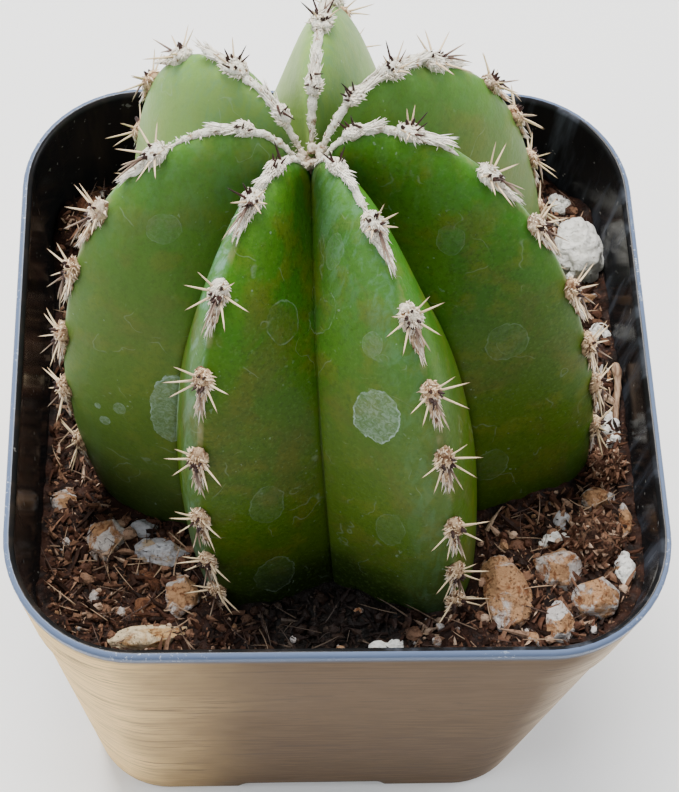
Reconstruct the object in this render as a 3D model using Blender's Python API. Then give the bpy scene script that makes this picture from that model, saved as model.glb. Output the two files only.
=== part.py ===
# Potted mexican fence post cactus: a seven-ribbed stem in gritty soil in a square nursery pot.
# Metres, +Z up, origin at the middle of the pot's underside, the pictured front towards -Y.
import bpy
import bmesh
import math
import random
from mathutils import Vector, Matrix, noise

for old in list(bpy.data.objects):
    bpy.data.objects.remove(old, do_unlink=True)

MM = 0.001
GAP = 0.3 * MM
CLOSE = 0.001 * MM

# pot: a 3.5 inch square nursery pot
POT_HEIGHT = 91.5 * MM
RIM_HALF = 44.5 * MM
RIM_CORNER = 17.5 * MM
BASE_HALF = 37.9 * MM
BASE_CORNER = 13.5 * MM
RIM_WALL = 1.45 * MM
LOWER_WALL = 1.3 * MM
STEP_IN = 0.5 * MM
OUTER_STEP_DEPTH = 16.5 * MM
INNER_STEP_DEPTH = 18.0 * MM
STEP_HEIGHT = 0.7 * MM
BASE_EDGE = 1.6 * MM
FLOOR_UNDER = 4.0 * MM
FLOOR_TOP = 5.6 * MM
FLOOR_EDGE = 2.0 * MM
FOOT_FLOOR = 1.4 * MM
CHANNEL_HALF = 11.0 * MM
CHANNEL_FLARE = 3.0 * MM
POCKET_FROM = 15.4 * MM
DRAIN_RADIUS = 3.5 * MM
DRAIN_PLACES = ((0, 0), (24, 0), (-24, 0), (0, 24), (0, -24))
CORNER_STEPS = 6

# soil surface: height under the rim in the middle, rise per metre to the right and to the back
SOIL_DEPTH = 16.5 * MM
SOIL_RISE_X = 0.12
SOIL_RISE_Y = -0.09
SOIL_BUMP = 0.9 * MM
SOIL_BUMP_SIZE = 5.0 * MM
MOUND_PLACE = (-37.0 * MM, 32.0 * MM)
MOUND_HEIGHT = 9.0 * MM
MOUND_SPREAD = 6.5 * MM
SOIL_RINGS = (1.0, 0.94, 0.87, 0.79, 0.7, 0.6, 0.4)
SOIL_SIDE_STEPS = 6
HOLE_GAP = 0.4 * MM
DENT_GAP = 0.35 * MM

# stem: middle at mid height, lean per metre of height, and the two profiles from the dip in the
# crown to the foot as pairs of radius and height over the rim, in millimetres; a smooth curve
# runs through them, with two rows of the stem to each pair
STEM_X = -4.8 * MM
STEM_Y = 5.3 * MM
LEAN_X = -0.102
LEAN_Y = 0.171
STEM_MIDDLE = 35.1
CREST_PROFILE = (
    (1.4, 38.6), (5.6, 44.2), (12.8, 45.9), (20.1, 42.4), (26.6, 35.1),
    (31.5, 23.7), (34.9, 5.8), (33.6, -17.5), (26.5, -32.0), (5.0, -35.0),
)
VALLEY_PROFILE = (
    (1.2, 37.2), (4.4, 35.6), (9.8, 32.8), (15.4, 29.0), (20.0, 23.4),
    (23.4, 14.2), (25.6, 0.0), (25.5, -20.0), (21.5, -33.0), (5.0, -35.5),
)
ROWS_TO_A_PAIR = 2
STEM_ROWS = 18
CROWN_DIP = 37.5
FOOT_END = -35.0
CREST_ROUND = 1.7 * MM
CREST_ROUND_POWER = 6.0
# fullness of the rib sides at the crown, half way and at the foot: 1 is flat, less is fuller
SIDE_POWERS = (0.6, 0.86, 0.7)
ACROSS = (0.3, 0.6, 0.82, 0.95)
# each rib: name, direction in degrees, size against the mean profile
RIBS = (
    ("front_left", 240.6, 0.954),
    ("front_right", 296.8, 1.012),
    ("right", 344.9, 1.079),
    ("back_right", 390.7, 1.026),
    ("back", 441.3, 0.992),
    ("back_left", 499.4, 0.929),
    ("left", 553.7, 1.021),
)

# areoles along each crest, counted in rows of the stem from the crown to the soil
AREOLES = {
    "front_left": (2.8, 4.3, 6.9, 9.0, 10.7, 11.9, 12.8, 13.5),
    "front_right": (2.6, 4.9, 7.2, 8.9, 10.3, 11.6, 12.5, 13.1),
    "right": (1.9, 3.7, 6.1, 7.8, 9.6, 10.8, 11.6, 12.4),
    "back_right": (2.3, 3.8, 5.3, 7.8, 9.3, 10.6, 11.8, 12.7),
    "back": (2.1, 4.4, 6.6, 8.5, 10.2, 11.5, 12.5, 13.3),
    "back_left": (1.6, 3.8, 6.5, 8.7, 10.6, 11.8, 12.8, 13.6),
    "left": (2.6, 5.4, 7.7, 9.4, 10.9, 12.0, 13.0),
}
STRIP_FROM = 1.0
STRIP_OVER_SOIL = 2.2 * MM
FELT_WIDTH = 0.95 * MM
FELT_ENDS = 5.5
THREAD_WIDTH = 0.42 * MM
THREAD_HEIGHT = 0.45 * MM
CUSHION_WIDTH = 1.5 * MM
CUSHION_HEIGHT = 1.35 * MM
CUSHION_LENGTH = 4.2 * MM
TAIL_LENGTH = 2.8 * MM
STRIP_GAP = 0.36 * MM
CROWN_TUFT = 1.15 * MM
# spines round an areole: direction from up the crest in degrees, rise over the skin, length in mm
SPINES = (
    (48, 34, 3.9), (-50, 34, 3.7), (92, 26, 4.7), (-94, 26, 4.6), (136, 24, 4.9), (-138, 24, 4.8),
    (178, 40, 4.4),
)
CROWN_SPINES = ((35, 50, 2.6), (-40, 54, 2.4), (150, 44, 3.0))
CROWN_UNTIL = 3.0
SPINE_ROOT = 0.3 * MM
SPINE_SINK = 0.7 * MM
SPINE_SPREAD = 0.28 * MM
SHORTEST_SPINE = 1.8 * MM
YOUNG_UNTIL = 5.0
YOUNG_ROOT = 0.4 * MM
YOUNG_RISE = 22
YOUNG_SHARE = 0.72

# stones and other lumps: name, kind, x, y, width, depth, height, share above the soil, turn
STONES = (
    ("stone_orange_oval", "tan", 23.2, -32.2, 6.6, 11.6, 6.4, 0.62, 8),
    ("stone_wedge", "tan", 30.3, -29.0, 7.6, 6.2, 5.6, 0.62, -25),
    ("stone_grey_orange", "tan", 35.4, -33.7, 7.0, 6.4, 5.4, 0.62, 15),
    ("stone_low_middle", "tan", 29.9, -37.1, 4.4, 7.0, 4.6, 0.60, 0),
    ("stone_small_low", "tan", 26.3, -38.9, 2.2, 4.0, 2.3, 0.60, 30),
    ("stone_round_right", "tan", 37.0, -18.5, 5.8, 4.2, 4.2, 0.62, 10),
    ("coir_lump", "coir", 35.9, -25.0, 6.8, 7.4, 6.4, 0.66, 20),
    ("perlite_middle", "perlite", 30.4, -24.4, 4.3, 2.2, 2.3, 0.62, 5),
    ("perlite_right", "perlite", 39.6, -29.3, 2.4, 4.8, 2.8, 0.62, 0),
    ("stone_right_edge", "tan", 40.4, -21.9, 2.3, 5.2, 2.6, 0.60, 0),
    ("stone_long_cream", "cream", -25.6, -35.8, 14.2, 3.9, 4.1, 0.60, 6),
    ("stone_grey_white", "grey", -24.1, -23.4, 8.2, 4.6, 4.6, 0.62, -12),
    ("stone_small_left", "grey", -26.6, -19.5, 5.0, 3.4, 2.9, 0.60, -8),
    ("stone_yellowish", "tan", -32.0, -20.8, 6.5, 6.8, 5.2, 0.60, 18),
    ("stone_big_tan", "tan", -21.3, -30.1, 5.4, 7.2, 5.4, 0.60, -15),
    ("stone_left_edge", "tan", -38.3, -14.2, 4.2, 4.0, 3.4, 0.60, 0),
    ("chip_left", "bark", -26.3, -31.7, 3.4, 3.2, 2.6, 0.62, 40),
    ("chip_bark", "bark", -25.6, -27.4, 3.0, 4.8, 3.0, 0.64, 25),
    ("perlite_front", "perlite", 6.3, -39.2, 5.0, 2.2, 2.8, 0.60, 4),
    ("perlite_big", "perlite", 38.2, 23.4, 7.4, 10.8, 8.2, 0.72, -10),
    ("perlite_right_back", "perlite", 40.3, 9.4, 3.0, 3.1, 2.7, 0.62, 0),
    ("stone_right_wall", "tan", 40.2, 1.9, 2.6, 3.8, 2.8, 0.62, 10),
    ("perlite_right_wall", "perlite", 40.1, -7.5, 2.2, 5.8, 2.4, 0.60, 0),
    ("perlite_corner", "perlite", 36.8, 33.6, 3.0, 4.0, 3.2, 0.62, 20),
    ("chip_back_left", "bark", -36.0, 32.6, 4.3, 4.6, 3.5, 0.66, 30),
    ("stone_back_left", "tan", -18.0, 36.5, 4.6, 3.2, 3.0, 0.60, -14),
    ("perlite_back", "perlite", -3.0, 38.0, 3.4, 2.6, 2.8, 0.62, 12),
    ("stone_back_right", "grey", 17.0, 36.4, 5.2, 3.6, 3.4, 0.60, 9),
    ("stone_left_wall", "cream", -38.4, 6.5, 2.8, 4.2, 2.8, 0.60, 7),
    ("stone_grey_middle", "grey", 31.8, -21.3, 2.8, 3.4, 2.9, 0.62, 10),
    ("coir_block", "coir", 38.9, -13.3, 4.4, 4.2, 3.7, 0.62, 15),
    ("stone_under_perlite", "tan", 38.9, 15.8, 4.0, 2.3, 2.5, 0.62, 5),
)
BIG_STONE = 4.7
STONE_ROUGHNESS = {"tan": 0.16, "cream": 0.14, "grey": 0.12, "coir": 0.2, "bark": 0.24, "perlite": 0.12}
STONE_COLOURS = {
    "tan": (0.50, 0.30, 0.17),
    "cream": (0.62, 0.50, 0.36),
    "grey": (0.55, 0.53, 0.50),
    "coir": (0.20, 0.09, 0.05),
    "bark": (0.17, 0.07, 0.035),
    "perlite": (0.78, 0.77, 0.72),
}


# a plain named material
def make_material(name, colour, roughness):
    material = bpy.data.materials.new(name)
    material.use_nodes = True
    shader = material.node_tree.nodes["Principled BSDF"]
    shader.inputs["Base Color"].default_value = (colour[0], colour[1], colour[2], 1.0)
    shader.inputs["Roughness"].default_value = roughness
    return material


# a new collection for cutters or repeats
def make_group(name):
    group = bpy.data.collections.new(name)
    bpy.context.scene.collection.children.link(group)
    return group


# an object from a bmesh, faces out
def make_object(name, mesh_data, material, smooth=True, group=None):
    bmesh.ops.recalc_face_normals(mesh_data, faces=mesh_data.faces)
    for face in mesh_data.faces:
        face.smooth = smooth
    mesh = bpy.data.meshes.new(name)
    mesh_data.to_mesh(mesh)
    mesh_data.free()
    made = bpy.data.objects.new(name, mesh)
    home = group if group is not None else bpy.context.scene.collection
    home.objects.link(made)
    if material is not None:
        mesh.materials.append(material)
    return made


# a closed body from loops of points, each loop with the same count, ends closed by the given
# points or by flat faces
def loft(name, loops, material, first=None, last=None, smooth=True, group=None):
    work = bmesh.new()
    rows = []
    for loop in loops:
        rows.append([work.verts.new(point) for point in loop])
    count = len(rows[0])
    for lower, upper in zip(rows, rows[1:]):
        for i in range(count):
            j = (i + 1) % count
            work.faces.new((lower[i], lower[j], upper[j], upper[i]))
    for row, tip in ((rows[0], first), (rows[-1], last)):
        if tip is None:
            work.faces.new(row)
        else:
            end = work.verts.new(tip)
            for i in range(count):
                work.faces.new((row[i], row[(i + 1) % count], end))
    return make_object(name, work, material, smooth, group)


# a body's faces cut to triangles, so that a Boolean meets no bent face
def to_triangles(target):
    work = bmesh.new()
    work.from_mesh(target.data)
    bmesh.ops.triangulate(work, faces=work.faces)
    work.to_mesh(target.data)
    work.free()


# corners of a body that a Boolean left closer than a few microns, joined
def join_close_corners(target):
    work = bmesh.new()
    work.from_mesh(target.data)
    bmesh.ops.remove_doubles(work, verts=work.verts, dist=CLOSE)
    bmesh.ops.dissolve_degenerate(work, edges=work.edges, dist=CLOSE)
    work.to_mesh(target.data)
    work.free()


# one Boolean with an object or a collection, applied, and the cutter removed
def boolean(target, other, operation, solver="EXACT"):
    modifier = target.modifiers.new("Boolean", "BOOLEAN")
    modifier.operation = operation
    modifier.solver = solver
    if isinstance(other, bpy.types.Collection):
        modifier.operand_type = "COLLECTION"
        modifier.collection = other
        used = list(other.objects)
    else:
        modifier.object = other
        used = [other]
    for cutter in used:
        cutter.hide_render = True
        cutter.display_type = "WIRE"
    bpy.context.view_layer.objects.active = target
    bpy.ops.object.modifier_apply(modifier=modifier.name)
    join_close_corners(target)
    for cutter in used:
        bpy.data.objects.remove(cutter, do_unlink=True)
    if isinstance(other, bpy.types.Collection):
        bpy.data.collections.remove(other)


# the rounded square at one height, with extra points along its straight sides
def square_loop(half, corner, z, side_steps=1):
    points = []
    for quarter in range(4):
        turn = quarter * math.pi / 2
        mid_x = (half - corner) * (1 if quarter in (0, 3) else -1)
        mid_y = (half - corner) * (1 if quarter in (0, 1) else -1)
        for step in range(CORNER_STEPS + 1):
            angle = turn + step / CORNER_STEPS * math.pi / 2
            points.append((mid_x + corner * math.cos(angle), mid_y + corner * math.sin(angle), z))
        along_x, along_y = -math.sin(turn + math.pi / 2), math.cos(turn + math.pi / 2)
        start_x, start_y = points[-1][0], points[-1][1]
        for step in range(1, side_steps):
            far = 2 * (half - corner) * step / side_steps
            points.append((start_x + along_x * far, start_y + along_y * far, z))
    return points


# the pot's outline at a height, moved in by the given amount
def pot_loop(z, inset, side_steps=1):
    share = min(max(z / POT_HEIGHT, 0.0), 1.0)
    half = BASE_HALF + (RIM_HALF - BASE_HALF) * share
    corner = BASE_CORNER + (RIM_CORNER - BASE_CORNER) * share
    return square_loop(half - inset, max(corner - inset, 1.0 * MM), z, side_steps)


# whether a point keeps clear of the pot's inner wall
def clear_of_wall(point, margin):
    share = point.z / POT_HEIGHT
    half = BASE_HALF + (RIM_HALF - BASE_HALF) * share - RIM_WALL - STEP_IN - margin
    corner = BASE_CORNER + (RIM_CORNER - BASE_CORNER) * share
    x = max(abs(point.x) - (half - corner), 0.0)
    y = max(abs(point.y) - (half - corner), 0.0)
    return math.hypot(x, y) < corner


# height of the soil at a place
def soil_height(x, y):
    plane = POT_HEIGHT - SOIL_DEPTH + SOIL_RISE_X * x + SOIL_RISE_Y * y
    away = (x - MOUND_PLACE[0]) ** 2 + (y - MOUND_PLACE[1]) ** 2
    mound = MOUND_HEIGHT * math.exp(-away / (2 * MOUND_SPREAD ** 2))
    bump = noise.noise(Vector((x, y, 0.0)) / SOIL_BUMP_SIZE) * SOIL_BUMP
    return plane + mound + bump


# the pot: one wall loft with rim and steps, the channel, foot pockets and drain holes cut
def build_pot():
    material = make_material("pot_plastic", (0.012, 0.013, 0.015), 0.28)
    outer_step = POT_HEIGHT - OUTER_STEP_DEPTH
    inner_step = POT_HEIGHT - INNER_STEP_DEPTH
    inner_low = STEP_IN + LOWER_WALL
    loops = []
    for step in range(4):
        angle = step / 3 * math.pi / 2
        inset = STEP_IN + BASE_EDGE * (1 - math.sin(angle))
        loops.append(pot_loop(BASE_EDGE * (1 - math.cos(angle)), inset))
    loops.append(pot_loop(outer_step - STEP_HEIGHT, STEP_IN))
    loops.append(pot_loop(outer_step, 0.0))
    radius = RIM_WALL / 2
    for step in range(7):
        angle = step / 6 * math.pi
        z = POT_HEIGHT - radius + radius * math.sin(angle)
        loops.append(pot_loop(z, radius - radius * math.cos(angle)))
    loops.append(pot_loop(inner_step, RIM_WALL))
    loops.append(pot_loop(inner_step - STEP_HEIGHT, inner_low))
    for step in range(4):
        angle = step / 3 * math.pi / 2
        inset = inner_low + FLOOR_EDGE * (1 - math.cos(angle))
        loops.append(pot_loop(FLOOR_TOP + FLOOR_EDGE * (1 - math.sin(angle)), inset))
    pot = loft("pot", loops, material)
    boolean(pot, build_feet("pockets", FOOT_FLOOR, POCKET_FROM, inner_low), "DIFFERENCE")
    for along in (0, 1):
        boolean(pot, build_channel(along), "DIFFERENCE")
    holes = make_group("drain_holes")
    for x, y in DRAIN_PLACES:
        work = bmesh.new()
        bmesh.ops.create_cone(
            work, cap_ends=True, segments=16, radius1=DRAIN_RADIUS, radius2=DRAIN_RADIUS,
            depth=8 * MM, matrix=Matrix.Translation((x * MM, y * MM, FLOOR_TOP)))
        make_object("drain_hole", work, None, group=holes)
    boolean(pot, holes, "DIFFERENCE")
    return pot


# four blocks in the corner feet, used as pockets in the pot and as fill under the soil
def build_feet(name, bottom, start, inset):
    top = FLOOR_TOP + FLOOR_EDGE + 0.5 * MM
    low = pot_loop(bottom, inset + 1.0 * MM)
    middle = pot_loop(bottom + 1.0 * MM, inset)
    high = pot_loop(top, inset + 0.02 * MM)
    feet = loft(name, [low, middle, high], None)
    for along in (0, 1):
        size = (200 * MM, start * 2, 40 * MM) if along == 0 else (start * 2, 200 * MM, 40 * MM)
        work = bmesh.new()
        bmesh.ops.create_cube(work, size=1.0, matrix=Matrix.Diagonal((*size, 1.0)))
        boolean(feet, make_object("bar", work, None), "DIFFERENCE")
    return feet


# one arm of the raised cross under the base, with soft S-shaped ends
def build_channel(along):
    side = [(CHANNEL_HALF + CHANNEL_FLARE + 0.4 * MM, -1.0 * MM)]
    for step in range(6):
        share = step / 5
        wide = CHANNEL_HALF + CHANNEL_FLARE * (1 - share)
        rise = FLOOR_UNDER * (0.5 - 0.5 * math.cos(math.pi * share))
        side.append((wide, rise))
    outline = side + [(-wide, rise) for wide, rise in reversed(side)]
    loops = []
    for end in (-60 * MM, 60 * MM):
        if along == 0:
            loops.append([(end, wide, rise) for wide, rise in outline])
        else:
            loops.append([(wide, end, rise) for wide, rise in outline])
    return loft("channel", loops, None)


# the stem's rib numbers for a rib index
def rib_values(index):
    name, degrees, size = RIBS[index % len(RIBS)]
    turns = 360.0 * (index // len(RIBS))
    return math.radians(degrees + turns), size


# a place in a profile, counted in rows of the stem, on the smooth curve through its pairs
def profile_at(profile, place):
    last = len(profile) - 1
    along = place / ROWS_TO_A_PAIR
    low = min(max(int(math.floor(along)), 0), last - 1)
    t = along - low
    before = Vector(profile[max(low - 1, 0)])
    start = Vector(profile[low])
    end = Vector(profile[low + 1])
    after = Vector(profile[min(low + 2, last)])
    curve = 2 * start + (end - before) * t
    curve += (2 * before - 5 * start + 4 * end - after) * t * t
    curve += (3 * start - before - 3 * end + after) * t * t * t
    return curve / 2


# a point of the leaning stem from its offset in plan and its height over the rim in millimetres
def stem_point(plan_x, plan_y, height):
    rise = (height - STEM_MIDDLE) * MM
    x = STEM_X + plan_x * MM + LEAN_X * rise
    y = STEM_Y + plan_y * MM + LEAN_Y * rise
    return Vector((x, y, POT_HEIGHT + height * MM))


# radius and height of a rib's crest at a place in the profile
def crest_at(place, size):
    radius, height = profile_at(CREST_PROFILE, place)
    return radius * size, STEM_MIDDLE + (height - STEM_MIDDLE) * size


# one ring of stem points, from valley to crest to valley round all the ribs
def stem_ring(row):
    share = row / (STEM_ROWS - 1)
    if share < 0.55:
        power = SIDE_POWERS[0] + (SIDE_POWERS[1] - SIDE_POWERS[0]) * share / 0.55
    else:
        power = SIDE_POWERS[1] + (SIDE_POWERS[2] - SIDE_POWERS[1]) * (share - 0.55) / 0.45
    valley_radius, valley_height = profile_at(VALLEY_PROFILE, row)
    ring = []
    for index in range(len(RIBS)):
        angle, size = rib_values(index)
        out_x, out_y = math.cos(angle), math.sin(angle)
        crest_radius, crest_height = crest_at(row, size)
        valleys = []
        for other in (index - 1, index + 1):
            middle = (angle + rib_values(other)[0]) / 2
            valleys.append((valley_radius * math.cos(middle), valley_radius * math.sin(middle)))
        samples = [(0.0, 0)] + [(s, 0) for s in ACROSS] + [(1.0, 0)] + [(s, 1) for s in reversed(ACROSS)]
        for s, side in samples:
            valley_x, valley_y = valleys[side]
            along = valley_x * out_x + valley_y * out_y
            wide = valley_y * out_x - valley_x * out_y
            width = abs(wide)
            rounding = min(CREST_ROUND / MM, width * 0.4)
            aside = (width - rounding) * (1 - s) ** power
            aside += rounding * math.sqrt(1 - s ** CREST_ROUND_POWER)
            aside = math.copysign(aside, wide)
            reach = along + s * (crest_radius - along)
            height = valley_height + s * (crest_height - valley_height)
            plan_x = out_x * reach - out_y * aside
            plan_y = out_y * reach + out_x * aside
            ring.append(stem_point(plan_x, plan_y, height))
    return ring


# the stem: one ribbed body, its foot in the soil
def build_stem():
    material = make_material("cactus_skin", (0.075, 0.20, 0.035), 0.42)
    rings = [stem_ring(row) for row in range(STEM_ROWS)]
    top = stem_point(0, 0, CROWN_DIP)
    foot = stem_point(0, 0, FOOT_END)
    return loft("cactus_stem", rings, material, first=top, last=foot)


# a copy of a body with every corner moved out by a distance, used as a cutter
def grown_copy(source, name, distance, group=None):
    work = bmesh.new()
    work.from_mesh(source.data)
    work.normal_update()
    moves = [vert.normal * distance for vert in work.verts]
    for vert, move in zip(work.verts, moves):
        vert.co += move
    copy = make_object(name, work, None, group=group)
    copy.location = source.location
    copy.rotation_euler = source.rotation_euler
    return copy


# the size and place of one stone
def stone_values(stone):
    name, kind, x, y, width, depth, height, above, turn = stone
    size = Vector((width, depth, height)) * MM
    z = soil_height(x * MM, y * MM) + size.z * (above - 0.5)
    return Vector((x * MM, y * MM, z)), size


# one lump: a ball with a seeded rough surface and a few broken faces
def build_stone(stone, number):
    name, kind = stone[0], stone[1]
    centre, size = stone_values(stone)
    pick = random.Random(100 + number)
    work = bmesh.new()
    detail = 2 if max(stone[4], stone[5]) > BIG_STONE else 1
    bmesh.ops.create_icosphere(work, subdivisions=detail, radius=0.5)
    rough = STONE_ROUGHNESS[kind]
    shift = Vector((pick.uniform(-9, 9), pick.uniform(-9, 9), pick.uniform(-9, 9)))
    cuts = []
    for cut in range(5):
        away = Vector((pick.uniform(-1, 1), pick.uniform(-1, 1), pick.uniform(-0.4, 1)))
        cuts.append((away.normalized(), pick.uniform(0.36, 0.44)))
    for vert in work.verts:
        way = vert.co.normalized()
        length = 0.5 * (1 + rough * noise.noise(way * 1.6 + shift))
        for away, flat in cuts:
            facing = way.dot(away)
            if facing > 0 and length * facing > flat:
                length = flat / facing
        vert.co = way * length
    bmesh.ops.scale(work, vec=size, verts=work.verts)
    material = make_material(name + "_material", STONE_COLOURS[kind], 0.85)
    made = make_object(name, work, material, smooth=False)
    made.location = centre
    made.rotation_euler = (0.0, 0.0, math.radians(stone[8]))
    return made


# the soil: fills the pot to its bumpy top, with the feet, the stem's hole and a dent per stone
def build_soil(stem, stones):
    material = make_material("coir_soil", (0.085, 0.038, 0.022), 0.95)
    inner_low = STEP_IN + LOWER_WALL + GAP
    inner_step = POT_HEIGHT - INNER_STEP_DEPTH
    loops = []
    for step in range(3, -1, -1):
        angle = step / 3 * math.pi / 2
        inset = inner_low + FLOOR_EDGE * (1 - math.cos(angle))
        z = FLOOR_TOP + GAP + FLOOR_EDGE * (1 - math.sin(angle))
        loops.append(pot_loop(z, inset, SOIL_SIDE_STEPS))
    edge_low = pot_loop(inner_step - STEP_HEIGHT * 1.5, inner_low, SOIL_SIDE_STEPS)
    wall_top = []
    for low, high in zip(edge_low, pot_loop(POT_HEIGHT, inner_low, SOIL_SIDE_STEPS)):
        x, y = high[0], high[1]
        z = soil_height(x, y)
        share = (z - low[2]) / (POT_HEIGHT - low[2])
        wall_top.append((low[0] + (x - low[0]) * share, low[1] + (y - low[1]) * share, z))
    for ring in SOIL_RINGS:
        loop = []
        for x, y, z in wall_top:
            loop.append((x * ring, y * ring, soil_height(x * ring, y * ring)))
        loops.append(loop)
    middle = (0.0, 0.0, soil_height(0.0, 0.0))
    soil = loft("soil", loops, material, last=middle)
    to_triangles(soil)
    feet = build_feet("feet_fill", FOOT_FLOOR + GAP, POCKET_FROM + GAP, inner_low + 0.02 * MM)
    boolean(soil, feet, "UNION")
    hole = grown_copy(stem, "stem_hole", HOLE_GAP)
    to_triangles(hole)
    boolean(soil, hole, "DIFFERENCE")
    dents = make_group("dents")
    for stone in stones:
        grown_copy(stone, stone.name + "_dent", DENT_GAP, dents)
    boolean(soil, dents, "DIFFERENCE")
    return soil


# place, outward, down-the-crest and sideways directions on a crest
def crest_frame(index, place):
    angle, size = rib_values(index)
    points = []
    for at in (place - 0.05, place, place + 0.05):
        radius, height = crest_at(at, size)
        points.append(stem_point(radius * math.cos(angle), radius * math.sin(angle), height))
    down = (points[2] - points[0]).normalized()
    side = Vector((-math.sin(angle), math.cos(angle), 0.0))
    side = (side - down * side.dot(down)).normalized()
    return points[1], down.cross(side), down, side


# a three-sided spine from its root to its tip
def build_spine(root, tip, radius, group):
    way = (tip - root).normalized()
    across = way.orthogonal().normalized()
    other = way.cross(across)
    base = []
    for step in range(3):
        angle = step * math.tau / 3
        base.append(root + (across * math.cos(angle) + other * math.sin(angle)) * radius)
    return loft("spine", [base], None, last=tip, group=group)


# whether a spine keeps clear of the soil, the pot and the stones
def spine_clear(root, tip):
    for step in range(1, 6):
        point = root.lerp(tip, step / 5)
        if point.z < soil_height(point.x, point.y) + 1.0 * MM:
            return False
        if point.z < POT_HEIGHT + 1.0 * MM and not clear_of_wall(point, 0.6 * MM):
            return False
        for stone in STONES:
            centre, size = stone_values(stone)
            away = point - centre
            grown = size / 2 + Vector((0.9, 0.9, 0.9)) * MM
            inside = (away.x / grown.x) ** 2 + (away.y / grown.y) ** 2 + (away.z / grown.z) ** 2
            if inside < 1.0:
                return False
    return True


# how wide and high the felt is at a distance along the crest, given the areoles' distances
def felt_size(place, distance, centres):
    felt = max(0.0, min(1.0, (FELT_ENDS - place) / 1.5))
    width = THREAD_WIDTH + (FELT_WIDTH - THREAD_WIDTH) * felt
    height = THREAD_HEIGHT * (1 + 0.5 * felt)
    for centre in centres:
        away = distance - centre
        reach = CUSHION_LENGTH / 2 if away < 0 else CUSHION_LENGTH / 2 + TAIL_LENGTH
        share = max(0.0, 1 - (away / reach) ** 2)
        if away > 0:
            share = share ** 1.4
        width = max(width, CUSHION_WIDTH * math.sqrt(share) if share > 0 else 0.0)
        height = max(height, CUSHION_HEIGHT * math.sqrt(share) if share > 0 else 0.0)
    return width, height


# the felt strip, woolly cushions and spines of one rib, joined to one body
def build_areoles(index, material):
    name = RIBS[index][0]
    places = AREOLES[name]
    fine = [STRIP_FROM + step * 0.05 for step in range(int((16 - STRIP_FROM) / 0.05))]
    distances = [0.0]
    frames = [crest_frame(index, place) for place in fine]
    for before, after in zip(frames, frames[1:]):
        distances.append(distances[-1] + (after[0] - before[0]).length)
    end = len(fine) - 1
    for number, frame in enumerate(frames):
        point = frame[0]
        if point.z < soil_height(point.x, point.y) + STRIP_OVER_SOIL:
            end = number
            break
    centres = []
    for place in places:
        number = int(round((place - STRIP_FROM) / 0.05))
        if number < end:
            centres.append(distances[number])
    stations = {0.0, distances[end]}
    for centre in centres:
        for away in (-0.5, -0.42, -0.12, 0.22, 0.62, 1.05):
            stations.add(min(max(centre + away * CUSHION_LENGTH, 0.0), distances[end]))
    loops = []
    last_distance = -1.0
    for distance in sorted(stations):
        if distance - last_distance < 0.35 * MM:
            continue
        last_distance = distance
        number = min(range(len(distances)), key=lambda n: abs(distances[n] - distance))
        point, out, down, side = frames[number]
        width, height = felt_size(fine[number], distance, centres)
        drop = 0.2 * (width / MM) ** 2 * MM
        low = point + out * STRIP_GAP
        loops.append([
            low - side * width - out * drop,
            low,
            low + side * width - out * drop,
            low + side * width * 0.72 + out * height * 0.72,
            low + out * height,
            low - side * width * 0.72 + out * height * 0.72,
        ])
    strip = loft("areoles_" + name, loops, material)
    spines = make_group("spines_" + name)
    pick = random.Random(70 + index)
    for place, centre in zip(places, centres):
        number = min(range(len(distances)), key=lambda n: abs(distances[n] - centre))
        point, out, down, side = frames[number]
        radius, height = crest_at(place, rib_values(index)[1])
        young = place < YOUNG_UNTIL
        for degrees, rise, length in (CROWN_SPINES if place < CROWN_UNTIL else SPINES):
            turn = math.radians(degrees + pick.uniform(-9, 9))
            lift = math.radians(rise + pick.uniform(-7, 7) + (YOUNG_RISE if young else 0))
            reach = length * MM * pick.uniform(0.88, 1.1) * (YOUNG_SHARE if young else 1.0)
            reach = min(reach, radius * 0.42 * MM / max(math.cos(lift), 0.3))
            if reach < SHORTEST_SPINE:
                continue
            flat = side * math.sin(turn) - down * math.cos(turn)
            way = flat * math.cos(lift) + out * math.sin(lift)
            start = point + out * (STRIP_GAP + SPINE_SINK) + flat * SPINE_SPREAD
            tip = start + way * reach
            if not spine_clear(start, tip):
                continue
            build_spine(start, tip, YOUNG_ROOT if young else SPINE_ROOT, spines)
    boolean(strip, spines, "UNION")
    return strip


# the tuft of wool in the middle of the crown, just over the dip
def build_crown(material):
    work = bmesh.new()
    bmesh.ops.create_icosphere(work, subdivisions=2, radius=1.0)
    bmesh.ops.scale(work, vec=(CROWN_TUFT, CROWN_TUFT, CROWN_TUFT * 1.2), verts=work.verts)
    tuft = make_object("areoles_crown", work, material)
    tuft.location = stem_point(0, 0, CROWN_DIP) + Vector((0, 0, CROWN_TUFT * 1.2 + STRIP_GAP))
    return tuft


pot_body = build_pot()
stem_body = build_stem()
stone_bodies = [build_stone(stone, number) for number, stone in enumerate(STONES)]
soil_body = build_soil(stem_body, stone_bodies)
wool = make_material("areole_wool", (0.72, 0.64, 0.54), 0.9)
for rib_number in range(len(RIBS)):
    build_areoles(rib_number, wool)
build_crown(wool)
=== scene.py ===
# The looks of a potted mexican fence post cactus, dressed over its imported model.
# Metres, +Z up, origin at the middle of the pot's underside, the pictured front towards -Y.
import bpy
import bmesh
import math
import random
from mathutils import Matrix, Vector, noise
from mathutils.bvhtree import BVHTree


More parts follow.
